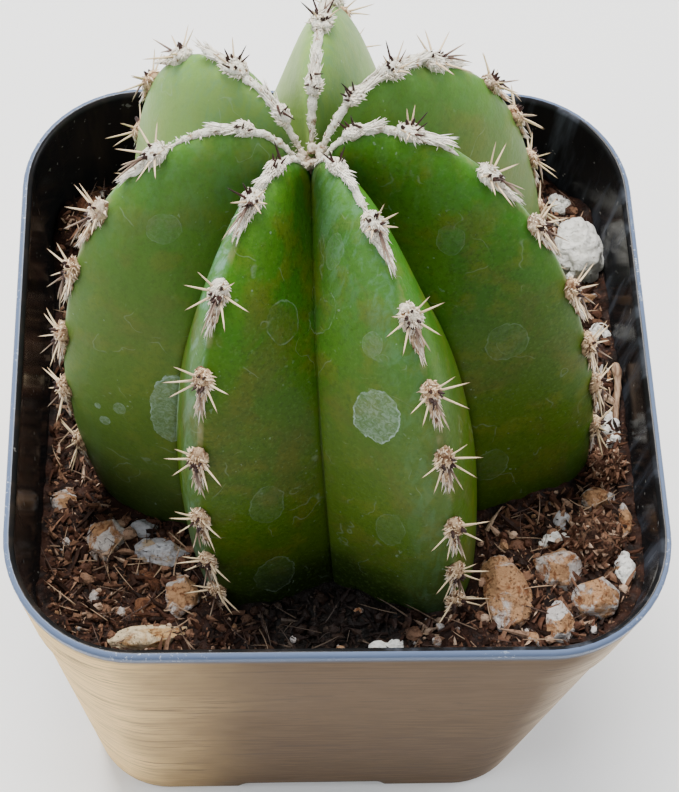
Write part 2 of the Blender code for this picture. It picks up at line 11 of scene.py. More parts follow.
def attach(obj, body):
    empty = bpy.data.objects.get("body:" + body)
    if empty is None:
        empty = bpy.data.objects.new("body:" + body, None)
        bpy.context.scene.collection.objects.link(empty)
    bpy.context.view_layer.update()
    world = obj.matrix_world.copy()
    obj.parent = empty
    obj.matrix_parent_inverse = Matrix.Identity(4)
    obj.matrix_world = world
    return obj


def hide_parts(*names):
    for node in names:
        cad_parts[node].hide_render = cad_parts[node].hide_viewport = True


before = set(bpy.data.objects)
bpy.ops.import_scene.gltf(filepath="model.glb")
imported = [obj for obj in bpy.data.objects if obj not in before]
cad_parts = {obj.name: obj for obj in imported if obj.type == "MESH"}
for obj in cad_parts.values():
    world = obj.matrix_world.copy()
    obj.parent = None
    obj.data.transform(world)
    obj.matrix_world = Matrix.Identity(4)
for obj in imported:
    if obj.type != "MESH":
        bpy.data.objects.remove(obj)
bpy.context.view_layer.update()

MM = 0.001


# Studio: a plain white table top under soft daylight, most of it from a high window behind the
# plant, with weaker ones at both sides. None of it belongs to the plant.
TABLE_HALF = 3.0
TABLE_WHITE = (0.92, 0.92, 0.92)
TABLE_PALE = (0.94, 0.94, 0.94)
TABLE_GRAIN = 60.0
CAMERA_PLACE = (-0.0164, -0.1192, 0.3155)
CAMERA_TURN = (26.66, -3.43, -1.70)
CAMERA_LENS = 83.06
DAYLIGHT = 0.55
LIGHT_AIM = (0.0, 0.0, 0.09)


def feed(tree, node, inputs):
    """a node's inputs given as values or as other nodes' outputs"""
    for name, value in inputs.items():
        if isinstance(value, bpy.types.NodeSocket):
            tree.links.new(value, node.inputs[name])
        else:
            node.inputs[name].default_value = value


def add_node(tree, kind, inputs=None, **settings):
    """one shader node with its settings and inputs"""
    made = tree.nodes.new("ShaderNode" + kind)
    for name, value in settings.items():
        setattr(made, name, value)
    feed(tree, made, inputs or {})
    return made


def mix_colours(tree, share, first, second):
    """two colours mixed, each given as red, green and blue or as another node's output"""
    inputs = {0: share}
    for socket, colour in ((6, first), (7, second)):
        inputs[socket] = (*colour, 1.0) if isinstance(colour, tuple) else colour
    return add_node(tree, "Mix", inputs, data_type="RGBA").outputs[2]


def stretch(tree, value, low, high, to_low=0.0, to_high=1.0):
    """a value taken smoothly from one range to another, and held inside it"""
    inputs = {0: value, 1: low, 2: high, 3: to_low, 4: to_high}
    return add_node(tree, "MapRange", inputs, interpolation_type="SMOOTHSTEP").outputs[0]


def grain(tree, place, size, detail=3.0, roughness=0.55, twist=0.0):
    """a noise whose lumps are about that many millimetres across"""
    inputs = {
        "Vector": place, "Scale": 1.0 / (size * MM), "Detail": detail,
        "Roughness": roughness, "Distortion": twist,
    }
    return add_node(tree, "TexNoise", inputs).outputs["Fac"]


def new_finish(name):
    """a material with its node tree, its shader and the object's own coordinates"""
    material = bpy.data.materials.new(name)
    material.use_nodes = True
    tree = material.node_tree
    shader = tree.nodes["Principled BSDF"]
    return material, tree, shader, add_node(tree, "TexCoord").outputs["Object"]


def add_piece(name, work, finish, smooth=True):
    """an object from a bmesh, its place in its mesh, with its finish"""
    for face in work.faces:
        face.smooth = smooth
    mesh = bpy.data.meshes.new(name)
    work.to_mesh(mesh)
    work.free()
    mesh.materials.append(finish)
    piece = bpy.data.objects.new(name, mesh)
    bpy.context.scene.collection.objects.link(piece)
    return piece


def add_window(name, place, size, watts, colour):
    """one soft square light that faces the plant"""
    light = bpy.data.lights.new(name, "AREA")
    light.size = size
    light.energy = watts
    light.color = colour
    lamp = bpy.data.objects.new(name, light)
    lamp.location = place
    lamp.rotation_euler = (Vector(LIGHT_AIM) - Vector(place)).to_track_quat("-Z", "Y").to_euler()
    bpy.context.scene.collection.objects.link(lamp)


table_finish, tree, shader, place = new_finish("white_table")
pale = mix_colours(tree, grain(tree, place, TABLE_GRAIN), TABLE_WHITE, TABLE_PALE)
feed(tree, shader, {"Base Color": pale, "Roughness": 0.9})
work = bmesh.new()
bmesh.ops.create_grid(work, x_segments=1, y_segments=1, size=TABLE_HALF)
table = add_piece("table_top", work, table_finish)

add_window("window_back", (-0.12, 0.40, 0.85), 0.35, 16.0, (1.0, 0.98, 0.94))
add_window("window_left", (-0.60, -0.10, 0.50), 0.5, 4.0, (0.86, 0.93, 1.0))
add_window("window_right", (0.60, 0.05, 0.50), 0.5, 4.0, (0.95, 0.97, 1.0))
world = bpy.data.worlds.new("soft_daylight")
world.use_nodes = True
sky = world.node_tree.nodes["Background"]
feed(world.node_tree, sky, {"Color": (1.0, 1.0, 1.0, 1.0), "Strength": DAYLIGHT})
bpy.context.scene.world = world

camera = bpy.data.objects.new("camera", bpy.data.cameras.new("camera"))
camera.location = CAMERA_PLACE
camera.rotation_euler = [math.radians(turn) for turn in CAMERA_TURN]
camera.data.lens = CAMERA_LENS
camera.data.clip_start = 0.01
bpy.context.scene.collection.objects.link(camera)
bpy.context.scene.camera = camera


# Pot: a square nursery pot of thin black polypropylene, moulded in one piece, with a rolled rim,
# a small step under it and a raised cross between its four feet. Handling and hard water have
# left smears on its glossy inside. The tan colour of its outside, darker towards the foot, with
# fine dark streaks and brighter towards the corners, orange at the left and cream at the right,
# is a painted reflection of a sunlit wooden table in the glossy black plastic, so the pot looks
# tan from every side. The streaks also give the outside a little relief. The blue-grey on the
# outer half of the rim and just under it, and the bluish tone of the smears on the right inner
# wall, are painted reflections of the sky.
POT_HEIGHT = 91.5 * MM
RIM_HALF = 44.5 * MM
RIM_CORNER = 17.5 * MM
BASE_HALF = 37.9 * MM
BASE_CORNER = 13.5 * MM
RIM_WALL = 1.45 * MM
INNER_WALL = 1.8 * MM
STEP_IN = 0.5 * MM
OUTER_STEP = POT_HEIGHT - 16.5 * MM
INNER_STEP = POT_HEIGHT - 18.0 * MM
STEP_HEIGHT = 0.7 * MM
BASE_EDGE = 1.6 * MM
FLOOR_TOP = 5.6 * MM
FLOOR_EDGE = 2.0 * MM
CROSS_HALF = 11.0 * MM
CROSS_FLARE = 3.0 * MM
CROSS_RISE = 4.0 * MM
DRAIN_RADIUS = 3.5 * MM
DRAIN_CUT = 8.0 * MM
DRAIN_PLACES = ((0, 0), (24, 0), (-24, 0), (0, 24), (0, -24))
CORNER_FACES = 14
SIDE_FACES = 6
EDGE_STEPS = 5
RIM_STEPS = 10
FLOOR_STEPS = 3
FLARE_STEPS = 8
CUT_PAST_WALL = 60 * MM


def straight_tube(around, rows):
    """an upright tube of unit radius with its rings one apart, ready to be shaped"""
    work = bmesh.new()
    ring = bmesh.ops.create_circle(work, segments=around, radius=1.0)["verts"]
    geometry = ring + work.edges[:]
    bmesh.ops.spin(work, geom=geometry, axis=(0, 0, 1), dvec=(0, 0, 1), steps=rows - 1)
    return work


def tube_spot(vert, around):
    """which point of a straight tube's ring and which ring a corner belongs to"""
    turn = math.atan2(vert.co.y, vert.co.x) / math.tau * around
    return round(turn) % around, round(vert.co.z)


def close_up(work, gap=0.001 * MM):
    """corners that came together are joined, holes filled and all faces turned outwards"""
    bmesh.ops.remove_doubles(work, verts=work.verts, dist=gap)
    bmesh.ops.holes_fill(work, edges=[edge for edge in work.edges if edge.is_boundary])
    bmesh.ops.recalc_face_normals(work, faces=work.faces)


def pot_half(height):
    """half the pot's width and its corner radius at a height"""
    share = height / POT_HEIGHT
    half = BASE_HALF + (RIM_HALF - BASE_HALF) * share
    return half, BASE_CORNER + (RIM_CORNER - BASE_CORNER) * share


def pot_point(spot, height, inset):
    """one of the points round the pot's rounded square"""
    half, corner = pot_half(height)
    half -= inset
    corner = max(corner - inset, 1.0 * MM)
    quarter, step = divmod(spot, CORNER_FACES + SIDE_FACES)
    if step <= CORNER_FACES:
        angle = step / CORNER_FACES * math.pi / 2
        x = half - corner + corner * math.cos(angle)
        y = half - corner + corner * math.sin(angle)
    else:
        x = (half - corner) * (1 - 2 * (step - CORNER_FACES) / SIDE_FACES)
        y = half
    return Matrix.Rotation(quarter * math.pi / 2, 3, "Z") @ Vector((x, y, height))


def pot_profile():
    """height, inset and painted reflection of each ring, from under the base to the floor: 1 the table's,
    0.5 the sky's, 0 none
    """
    rings = []
    for step in range(EDGE_STEPS + 1):
        angle = step / EDGE_STEPS * math.pi / 2
        inset = STEP_IN + BASE_EDGE * (1 - math.sin(angle))
        rings.append((BASE_EDGE * (1 - math.cos(angle)), inset, 1.0))
    rings.append((FLOOR_TOP + 0.5 * MM, STEP_IN, 1.0))
    rings.append((OUTER_STEP - STEP_HEIGHT, STEP_IN, 1.0))
    rings.append((OUTER_STEP, 0.0, 1.0))
    rings.append((POT_HEIGHT - 2.4 * MM, 0.0, 1.0))
    radius = RIM_WALL / 2
    for step in range(RIM_STEPS + 1):
        angle = step / RIM_STEPS * math.pi
        height = POT_HEIGHT - radius + radius * math.sin(angle)
        rings.append((height, radius - radius * math.cos(angle), 0.5 if step <= RIM_STEPS / 2 else 0.0))
    rings.append((POT_HEIGHT - 2.0 * MM, RIM_WALL, 0.0))
    rings.append((INNER_STEP, RIM_WALL, 0.0))
    rings.append((INNER_STEP - STEP_HEIGHT, INNER_WALL, 0.0))
    for step in range(FLOOR_STEPS + 1):
        angle = step / FLOOR_STEPS * math.pi / 2
        inset = INNER_WALL + FLOOR_EDGE * (1 - math.cos(angle))
        rings.append((FLOOR_TOP + FLOOR_EDGE * (1 - math.sin(angle)), inset, 0.0))
    return rings


def cut_away(piece, work):
    """a shape taken out of a piece for good"""
    bmesh.ops.recalc_face_normals(work, faces=work.faces)
    mesh = bpy.data.meshes.new("cut")
    work.to_mesh(mesh)
    work.free()
    cutter = bpy.data.objects.new("cut", mesh)
    bpy.context.scene.collection.objects.link(cutter)
    modifier = piece.modifiers.new("cut", "BOOLEAN")
    modifier.operation = "DIFFERENCE"
    modifier.object = cutter
    bpy.context.view_layer.objects.active = piece
    bpy.ops.object.modifier_apply(modifier=modifier.name)
    bpy.data.objects.remove(cutter, do_unlink=True)


def calc(tree, operation, first, second=0.0, third=0.0):
    """one sum on values"""
    return add_node(tree, "Math", {0: first, 1: second, 2: third}, operation=operation).outputs[0]


def times(tree, first, second):
    """one value times another"""
    return calc(tree, "MULTIPLY", first, second)


def plus(tree, first, second):
    """one value added to another"""
    return calc(tree, "ADD", first, second)


def painted(tree, name):
    """a value that the mesh carries at its corners"""
    return add_node(tree, "Attribute", attribute_name=name).outputs["Fac"]


def drawn_out(tree, place, x, y, z):
    """a place scaled along each axis, which draws a pattern out where the scale is small"""
    return add_node(tree, "Mapping", {"Vector": place, "Scale": (x, y, z)}).outputs[0]


def bump(tree, shader, height, strength, depth):
    """relief of that many millimetres put on a shader's normal"""
    inputs = {"Height": height, "Strength": strength, "Distance": depth * MM}
    feed(tree, shader, {"Normal": add_node(tree, "Bump", inputs).outputs[0]})


pot_finish, tree, shader, place = new_finish("moulded_black_plastic")
# the film value marks where the painted reflections go: 1 the table's on the outside, 0.5 the sky's on
# the outer half of the rim, 0 none on the glossy inside
side = painted(tree, "film")
outside = stretch(tree, side, 0.6, 0.95)
on_rim = times(tree, stretch(tree, side, 0.3, 0.5), calc(tree, "SUBTRACT", 1.0, outside))
where = add_node(tree, "SeparateXYZ", {0: place}).outputs
lines = drawn_out(tree, place, 0.07, 0.07, 1.0)
streak = grain(tree, lines, 0.55, 5.0, 0.6)
long_streak = grain(tree, lines, 1.6, 3.0, 0.6)
blotch = grain(tree, place, 16.0, 4.0)
# painted reflection: the wall brightens towards its corners, where the table's reflection glows orange at
# the left and cream at the right
corner = calc(tree, "MINIMUM", calc(tree, "ABSOLUTE", where["X"]), calc(tree, "ABSOLUTE", where["Y"]))
corner = plus(tree, corner, times(tree, calc(tree, "SUBTRACT", blotch, 0.5), 0.012))
to_right = stretch(tree, where["X"], -0.014, 0.014)
left_light = calc(tree, "POWER", calc(tree, "MINIMUM", calc(tree, "DIVIDE", corner, 0.031), 1.0), 3.2)
left_light = times(tree, left_light, calc(tree, "SUBTRACT", 1.0, to_right))
edge_light = calc(tree, "MULTIPLY_ADD", stretch(tree, corner, 0.028, 0.044), to_right, left_light)
# painted reflection of the sunlit wooden table: tan, darker towards the foot, with fine dark streaks and
# longer ones
tan = mix_colours(tree, blotch, (0.088, 0.052, 0.025), (0.140, 0.090, 0.050))
tan = mix_colours(tree, stretch(tree, where["Z"], 0.075, 0.015, 0.0, 0.7), tan, (0.070, 0.040, 0.018))
painted_corner_reflection_colour = mix_colours(tree, to_right, (0.94, 0.64, 0.28), (0.82, 0.66, 0.48))
tan = mix_colours(tree, edge_light, tan, painted_corner_reflection_colour)
tan = mix_colours(tree, stretch(tree, streak, 0.42, 0.62, 0.0, 0.35), tan, (0.19, 0.12, 0.065))
dark_line = times(tree, stretch(tree, streak, 0.58, 0.64), stretch(tree, blotch, 0.45, 0.58))
tan = mix_colours(tree, times(tree, dark_line, 0.6), tan, (0.035, 0.024, 0.018))
tan = mix_colours(tree, stretch(tree, long_streak, 0.56, 0.68, 0.0, 0.4), tan, (0.060, 0.042, 0.030))
# painted reflection of the sky: a blue-grey band just under the rim
under_rim_reflection = stretch(tree, where["Z"], POT_HEIGHT - 3.2 * MM, POT_HEIGHT - 1.6 * MM)
tan = mix_colours(tree, times(tree, under_rim_reflection, 0.7), tan, (0.10, 0.115, 0.15))
smear_place = drawn_out(tree, place, 1.0, 1.0, 0.12)
smear = stretch(tree, grain(tree, smear_place, 3.0, 4.0), 0.45, 0.75)
spots = stretch(tree, grain(tree, place, 1.2, 2.0), 0.70, 0.74)
# the glossy inside: smears, which on the right wall are painted bluish grey as a reflection of the sky
smear_and_reflection_colour = mix_colours(tree, to_right, (0.024, 0.018, 0.015), (0.070, 0.078, 0.100))
black = mix_colours(tree, times(tree, smear, 0.8), (0.009, 0.009, 0.010), smear_and_reflection_colour)
black = mix_colours(tree, times(tree, spots, 0.5), black, (0.25, 0.24, 0.23))
scuff = stretch(tree, grain(tree, place, 0.6, 4.0, 0.7), 0.57, 0.64)
scuffed = times(tree, scuff, stretch(tree, grain(tree, place, 9.0, 2.0), 0.48, 0.62))
# painted reflection of the sky: the outer half of the rim blue-grey, with pale scuffs
rim_reflection_and_scuffs = mix_colours(tree, times(tree, scuffed, 0.8), (0.105, 0.142, 0.230), (0.55, 0.60, 0.68))
colour = mix_colours(tree, outside, black, tan)
colour = mix_colours(tree, on_rim, colour, rim_reflection_and_scuffs)
dull = plus(tree, 0.16, times(tree, outside, 0.50))
inside = calc(tree, "SUBTRACT", 1.0, outside)
dull = plus(tree, dull, times(tree, times(tree, smear, inside), 0.12))
feed(tree, shader, {"Base Color": colour, "Roughness": dull, "Specular IOR Level": 0.10})
relief = plus(tree, times(tree, streak, 0.25), grain(tree, place, 9.0, 2.0))
bump(tree, shader, relief, 0.25, 0.25)

around = 4 * (CORNER_FACES + SIDE_FACES)
profile = pot_profile()
work = straight_tube(around, len(profile))
film = work.verts.layers.float.new("film")
for vert in work.verts:
    spot, ring = tube_spot(vert, around)
    height, inset, share = profile[ring]
    vert.co = pot_point(spot, height, inset)
    vert[film] = share
close_up(work)
pot = add_piece("pot_shell", work, pot_finish)
for turn in (0.0, math.pi / 2):
    work = bmesh.new()
    edge = [(CROSS_HALF + CROSS_FLARE, -1.0 * MM)]
    for step in range(FLARE_STEPS + 1):
        share = step / FLARE_STEPS
        rise = CROSS_RISE * (0.5 - 0.5 * math.cos(math.pi * share))
        edge.append((CROSS_HALF + CROSS_FLARE * (1 - share), rise))
    outline = edge + [(-wide, rise) for wide, rise in reversed(edge)]
    face = work.faces.new([work.verts.new((-CUT_PAST_WALL, wide, rise)) for wide, rise in outline])
    grown = bmesh.ops.extrude_face_region(work, geom=[face], use_keep_orig=True)["geom"]
    ends = [part for part in grown if isinstance(part, bmesh.types.BMVert)]
    bmesh.ops.translate(work, verts=ends, vec=(2 * CUT_PAST_WALL, 0, 0))
    bmesh.ops.rotate(work, verts=work.verts, cent=(0, 0, 0), matrix=Matrix.Rotation(turn, 3, "Z"))
    cut_away(pot, work)
for x, y in DRAIN_PLACES:
    work = bmesh.new()
    bmesh.ops.create_cone(
        work, cap_ends=True, segments=32, radius1=DRAIN_RADIUS, radius2=DRAIN_RADIUS,
        depth=DRAIN_CUT, matrix=Matrix.Translation((x * MM, y * MM, FLOOR_TOP)))
    cut_away(pot, work)
# the underside takes the outside's painted table reflection too
outside_reflection_zone = pot.data.attributes["film"].data
for vert in pot.data.vertices:
    if vert.co.z < FLOOR_TOP - 0.3 * MM:
        outside_reflection_zone[vert.index].value = 1.0
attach(pot, "root")
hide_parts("pot")


# Soil: damp coir and peat pressed in round the roots, a bed of small dark red-brown crumbs with
# deep gaps between them. It fills the pot and is a little higher at the right and at the back left.
# The gaps between the crumbs are painted almost black as shade, and the hollow below the two
# front ribs is painted almost black as the stem's shadow, on the soil and on all that lies on it.
SOIL_DEPTH = 16.5 * MM
SOIL_RISE_X = 0.12
SOIL_RISE_Y = -0.09
SOIL_BUMP = 0.9 * MM
SOIL_BUMP_SIZE = 5.0 * MM
MOUND_PLACE = (-37.0 * MM, 32.0 * MM)
MOUND_HEIGHT = 9.0 * MM
MOUND_SPREAD = 6.5 * MM
CRUMB_SIZES = (3.4 * MM, 1.7 * MM, 0.9 * MM)
CRUMB_HEIGHTS = (1.05 * MM, 0.50 * MM, 0.22 * MM)
BED_FACES = 176
# middle and reach of the painted shadow of the stem in the hollow below its two front ribs
SHADOW_MIDDLE = (0.0, -33.0 * MM, 77.0 * MM)
SHADOW_REACH = (17.0 * MM, 12.0 * MM, 13.0 * MM)


def soil_height(x, y):
    """the smooth height of the soil at a place"""
    plane = POT_HEIGHT - SOIL_DEPTH + SOIL_RISE_X * x + SOIL_RISE_Y * y
    away = (x - MOUND_PLACE[0]) ** 2 + (y - MOUND_PLACE[1]) ** 2
    mound = MOUND_HEIGHT * math.exp(-away / (2 * MOUND_SPREAD ** 2))
    return plane + mound + noise.noise(Vector((x, y, 0.0)) / SOIL_BUMP_SIZE) * SOIL_BUMP


def crumb_relief(x, y):
    """how far crumbs stand over the smooth soil, and a share from 0 in the gaps to 1 on the crumbs' tops,
    for painted shade in the gaps
    """
    relief = 0.0
    for size, height in zip(CRUMB_SIZES, CRUMB_HEIGHTS):
        gap = noise.voronoi(Vector((x / size, y / size, size / MM)))[0]
        relief += height * (0.75 - 1.6 * gap[0] ** 2)
    total = sum(CRUMB_HEIGHTS)
    return relief, max(0.0, min(1.0, 0.5 + relief / total))


def to_pot_wall(across, along, inset):
    """a place in the square from -1 to 1 moved to the same share of the way to the pot's inside"""
    ring = max(abs(across), abs(along))
    if ring < 1e-6:
        return 0.0, 0.0
    half, corner = pot_half(soil_height(across * RIM_HALF, along * RIM_HALF))
    half -= inset
    corner -= inset
    x, y = across / ring * half, along / ring * half
    middle = half - corner
    if abs(x) > middle and abs(y) > middle:
        far = abs(x) + abs(y)
        reach = x * x + y * y
        root = math.sqrt((far * middle) ** 2 - reach * (2 * middle ** 2 - corner ** 2))
        share = (far * middle + root) / reach
        x, y = x * share, y * share
    return x * ring, y * ring


def new_group(name, given, put_out):
    """a node group with its inputs named with their kinds and its outputs named alone"""
    group = bpy.data.node_groups.new(name, "ShaderNodeTree")
    for socket, kind in given.items():
        group.interface.new_socket(socket, in_out="INPUT", socket_type="NodeSocket" + kind)
    for socket in put_out:
        group.interface.new_socket(socket, in_out="OUTPUT", socket_type="NodeSocketFloat")
    return group, group.nodes.new("NodeGroupInput").outputs, group.nodes.new("NodeGroupOutput")


def how_far(tree, place, middle, reach):
    """how far a place is from a middle, where 1 is at the reach along each axis"""
    away = add_node(tree, "VectorMath", {0: place, 1: middle}, operation="SUBTRACT").outputs[0]
    away = add_node(tree, "VectorMath", {0: away, 1: reach}, operation="DIVIDE").outputs[0]
    return add_node(tree, "VectorMath", {0: away}, operation="LENGTH").outputs["Value"]


def painted_hollow_shadow_group():
    """how dark the painted shadow is in the hollow below the two front ribs, up to the given share"""
    group, given, out = new_group("painted_hollow_shadow", {"Place": "Vector", "Most": "Float"}, ["Amount"])
    far = how_far(group, given["Place"], SHADOW_MIDDLE, SHADOW_REACH)
    far = plus(group, far, times(group, grain(group, given["Place"], 4.0), 0.5))
    feed(group, out, {"Amount": stretch(group, far, 0.75, 1.35, given["Most"], 0.0)})
    return group


def painted_hollow_shade(tree, place, most):
    """the painted shadow in the hollow placed in a material"""
    return add_node(tree, "Group", {"Place": place, "Most": most}, node_tree=painted_hollow_shadow).outputs[0]


painted_hollow_shadow = painted_hollow_shadow_group()
soil_finish, tree, shader, place = new_finish("damp_coir_soil")
crumb_height_share = painted(tree, "open")
patch = grain(tree, place, 2.2, 4.0)
speck = grain(tree, place, 0.5, 3.0)
brown = stretch(tree, patch, 0.35, 0.65)
brown = mix_colours(tree, brown, (0.006, 0.0025, 0.0017), (0.034, 0.013, 0.008))
brown = mix_colours(tree, stretch(tree, speck, 0.60, 0.70, 0.0, 0.6), brown, (0.16, 0.085, 0.050))
# painted shade: the gaps between the crumbs almost black
brown = mix_colours(tree, stretch(tree, crumb_height_share, 0.15, 0.6, 0.85, 0.0), brown, (0.003, 0.0015, 0.001))
# painted shadow of the stem in the hollow below its front ribs
brown = mix_colours(tree, painted_hollow_shade(tree, place, 0.9), brown, (0.002, 0.0015, 0.001))
damp = stretch(tree, grain(tree, place, 1.4, 2.0), 0.35, 0.65, 0.5, 0.95)
feed(tree, shader, {"Base Color": brown, "Roughness": damp, "Specular IOR Level": 0.2})
bump(tree, shader, plus(tree, grain(tree, place, 0.7, 6.0, 0.65), speck), 0.9, 0.3)

work = bmesh.new()
bmesh.ops.create_grid(work, x_segments=BED_FACES, y_segments=BED_FACES, size=1.0)
crumb_height_layer = work.verts.layers.float.new("open")
for vert in work.verts:
    x, y = to_pot_wall(vert.co.x, vert.co.y, RIM_WALL - 0.1 * MM)
    relief, gap = crumb_relief(x, y)
    vert.co = (x, y, soil_height(x, y) + relief)
    vert[crumb_height_layer] = gap
rim_edges = [edge for edge in work.edges if edge.is_boundary]
lowered = bmesh.ops.extrude_edge_only(work, edges=rim_edges)["geom"]
for part in lowered:
    if isinstance(part, bmesh.types.BMVert):
        share = (pot_half(FLOOR_TOP + FLOOR_EDGE)[0] - INNER_WALL) / pot_half(part.co.z)[0]
        part.co = (part.co.x * share, part.co.y * share, FLOOR_TOP + FLOOR_EDGE)
close_up(work)
soil = add_piece("soil_bed", work, soil_finish)
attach(soil, "root")
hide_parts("soil")


# Stem: the short living column, seven ribs of waxy green skin swollen with water round a sunken
# growing point. It grows in one piece, leans back a little, and its foot stands in the soil.
# Wax gives the rib flanks a blue-grey bloom, and dried drops have left ringed marks. A painted
# highlight makes the crests lighter high up, painted shade darkens the folds of the valleys and
# the foot by the soil, and the front of the foot is painted almost black as the stem's shadow.
STEM_X = -4.8 * MM
STEM_Y = 5.3 * MM
LEAN_X = -0.102
LEAN_Y = 0.171
STEM_MIDDLE = 35.1
# crest and valley between the ribs, from the dip in the crown to the foot: pairs of radius and
# height over the rim in millimetres, with two places of the stem to each pair
CREST_PROFILE = (
    (1.4, 38.6), (5.6, 44.2), (12.8, 45.9), (20.1, 42.4), (26.6, 35.1),
    (31.5, 23.7), (34.9, 5.8), (33.6, -17.5), (26.5, -32.0), (5.0, -35.0),
)
VALLEY_PROFILE = (
    (1.2, 37.2), (4.4, 35.6), (9.8, 32.8), (15.4, 29.0), (20.0, 23.4),
    (23.4, 14.2), (25.6, 0.0), (25.5, -20.0), (21.5, -33.0), (5.0, -35.5),
)
STEM_PLACES = 17
ROWS_TO_A_PLACE = 5
CROWN_DIP = 37.5
FOOT_END = -35.0
CREST_ROUND = 1.7
CREST_ROUND_POWER = 6.0
# fullness of the rib sides at the crown, half way down and at the foot: less is fuller
SIDE_POWERS = (0.6, 0.86, 0.7)
HALF_WAY = 0.55
# where the points of a rib's side stand between the valley at 0 and the crest at 1
ACROSS = (
    0.0, 0.012, 0.03, 0.07, 0.14, 0.24, 0.36, 0.48, 0.6, 0.7, 0.79, 0.86, 0.915, 0.955, 0.983, 0.996,
)
FOLD_DEPTH = 0.35
FOLD_SHARE = 0.035
FOLD_FROM = 8.0
# each rib: name, direction in degrees, size, bloom on its two flanks, paleness of its two flanks
RIBS = (
    ("front_left", 240.6, 0.954, 0.74, 0.04, 0.00, 0.00),
    ("front_right", 296.8, 1.012, 0.56, 0.10, 0.08, 0.00),
    ("right", 344.9, 1.079, 0.10, 0.20, 0.02, 0.10),
    ("back_right", 390.7, 1.026, 0.15, 0.25, 0.20, 0.40),
    ("back", 441.3, 0.992, 0.45, 0.25, 0.56, 0.92),
    ("back_left", 499.4, 0.929, 0.25, 0.45, 0.45, 0.55),
    ("left", 553.7, 1.021, 0.30, 0.25, 0.15, 0.18),
)
# dried water marks: middle, half width and height in millimetres, film and outline
WATER_MARKS = (
    ((2.9, -22.1, 116.2), 3.2, 4.6, 0.50, 1.0),
    ((-22.3, -13.9, 101.6), 3.1, 8.0, 0.50, 0.7),
    ((-22.8, -2.8, 127.8), 2.2, 2.2, 0.12, 0.18),
    ((-2.9, -7.6, 130.9), 1.7, 3.4, 0.14, 0.15),
    ((-3.6, -11.5, 122.6), 1.8, 4.6, 0.03, 0.35),
    ((-8.8, -13.3, 124.0), 2.6, 3.4, 0.03, 0.32),
    ((1.9, -17.2, 125.3), 1.4, 2.1, 0.18, 0.15),
    ((20.4, -9.9, 112.6), 2.9, 3.2, 0.07, 0.22),
    ((11.8, -3.7, 127.1), 1.8, 2.3, 0.07, 0.18),
    ((20.8, -16.8, 90.0), 2.6, 3.6, 0.05, 0.25),
    ((-10.0, -27.0, 100.3), 2.4, 3.9, 0.06, 0.20),
    ((-8.6, -30.5, 84.6), 2.9, 4.4, 0.06, 0.25),
    ((5.9, -29.3, 97.5), 2.0, 3.8, 0.07, 0.18),
    ((-31.3, -12.4, 95.1), 0.8, 1.0, 0.50, 0.6),
    ((-29.2, -12.4, 98.7), 0.9, 1.2, 0.35, 0.5),
    ((-32.1, -11.4, 97.7), 0.5, 0.6, 0.60, 0.6),
)


def profile_at(profile, place):
    """a place on the smooth curve through a profile's pairs, two places to a pair"""
    along = place / 2
    last = len(profile) - 1
    low = min(max(int(math.floor(along)), 0), last - 1)
    step = along - low
    before = Vector(profile[max(low - 1, 0)])
    start = Vector(profile[low])
    end = Vector(profile[low + 1])
    after = Vector(profile[min(low + 2, last)])
    curve = 2 * start + (end - before) * step
    curve += (2 * before - 5 * start + 4 * end - after) * step * step
    curve += (3 * start - before - 3 * end + after) * step * step * step
    return curve / 2


def stem_point(plan_x, plan_y, height):
    """a point of the leaning stem, from millimetres off its middle and over the rim"""
    rise = (height - STEM_MIDDLE) * MM
    x = STEM_X + plan_x * MM + LEAN_X * rise
    y = STEM_Y + plan_y * MM + LEAN_Y * rise
    return Vector((x, y, POT_HEIGHT + height * MM))


def rib_direction(index):
    """a rib's direction in radians, counted on past the last rib"""
    turns, rib = divmod(index, len(RIBS))
    return math.radians(RIBS[rib][1] + 360.0 * turns)


def crest_at(place, size):
    """radius and height of a rib's crest"""
    radius, height = profile_at(CREST_PROFILE, place)
    return radius * size, STEM_MIDDLE + (height - STEM_MIDDLE) * size


def rib_point(index, side, share, place):
    """a point of a rib: side 0 or 1, share 0 in the valley and 1 on the crest"""
    lower = place / STEM_PLACES
    if lower < HALF_WAY:
        power = SIDE_POWERS[0] + (SIDE_POWERS[1] - SIDE_POWERS[0]) * lower / HALF_WAY
    else:
        past = (lower - HALF_WAY) / (1 - HALF_WAY)
        power = SIDE_POWERS[1] + (SIDE_POWERS[2] - SIDE_POWERS[1]) * past
    valley_radius, valley_height = profile_at(VALLEY_PROFILE, place)
    deep = FOLD_DEPTH * max(0.0, 1 - share / FOLD_SHARE) ** 2 * min(1.0, valley_radius / FOLD_FROM)
    angle = rib_direction(index)
    middle = (angle + rib_direction(index + 2 * side - 1)) / 2 - angle
    along = valley_radius * math.cos(middle)
    wide = valley_radius * math.sin(middle)
    width = abs(wide)
    rounding = min(CREST_ROUND, width * 0.4)
    aside = (width - rounding) * (1 - share) ** power
    aside += rounding * math.sqrt(max(0.0, 1 - share ** CREST_ROUND_POWER))
    aside = math.copysign(aside, wide)
    crest_radius, crest_height = crest_at(place, RIBS[index][2])
    reach = along + share * (crest_radius - along)
    height = valley_height + share * (crest_height - valley_height)
    shrink = 1 - deep / max(math.hypot(reach, aside), 1.0)
    reach, aside = reach * shrink, aside * shrink
    x = math.cos(angle) * reach - math.sin(angle) * aside
    y = math.sin(angle) * reach + math.cos(angle) * aside
    return stem_point(x, y, height)


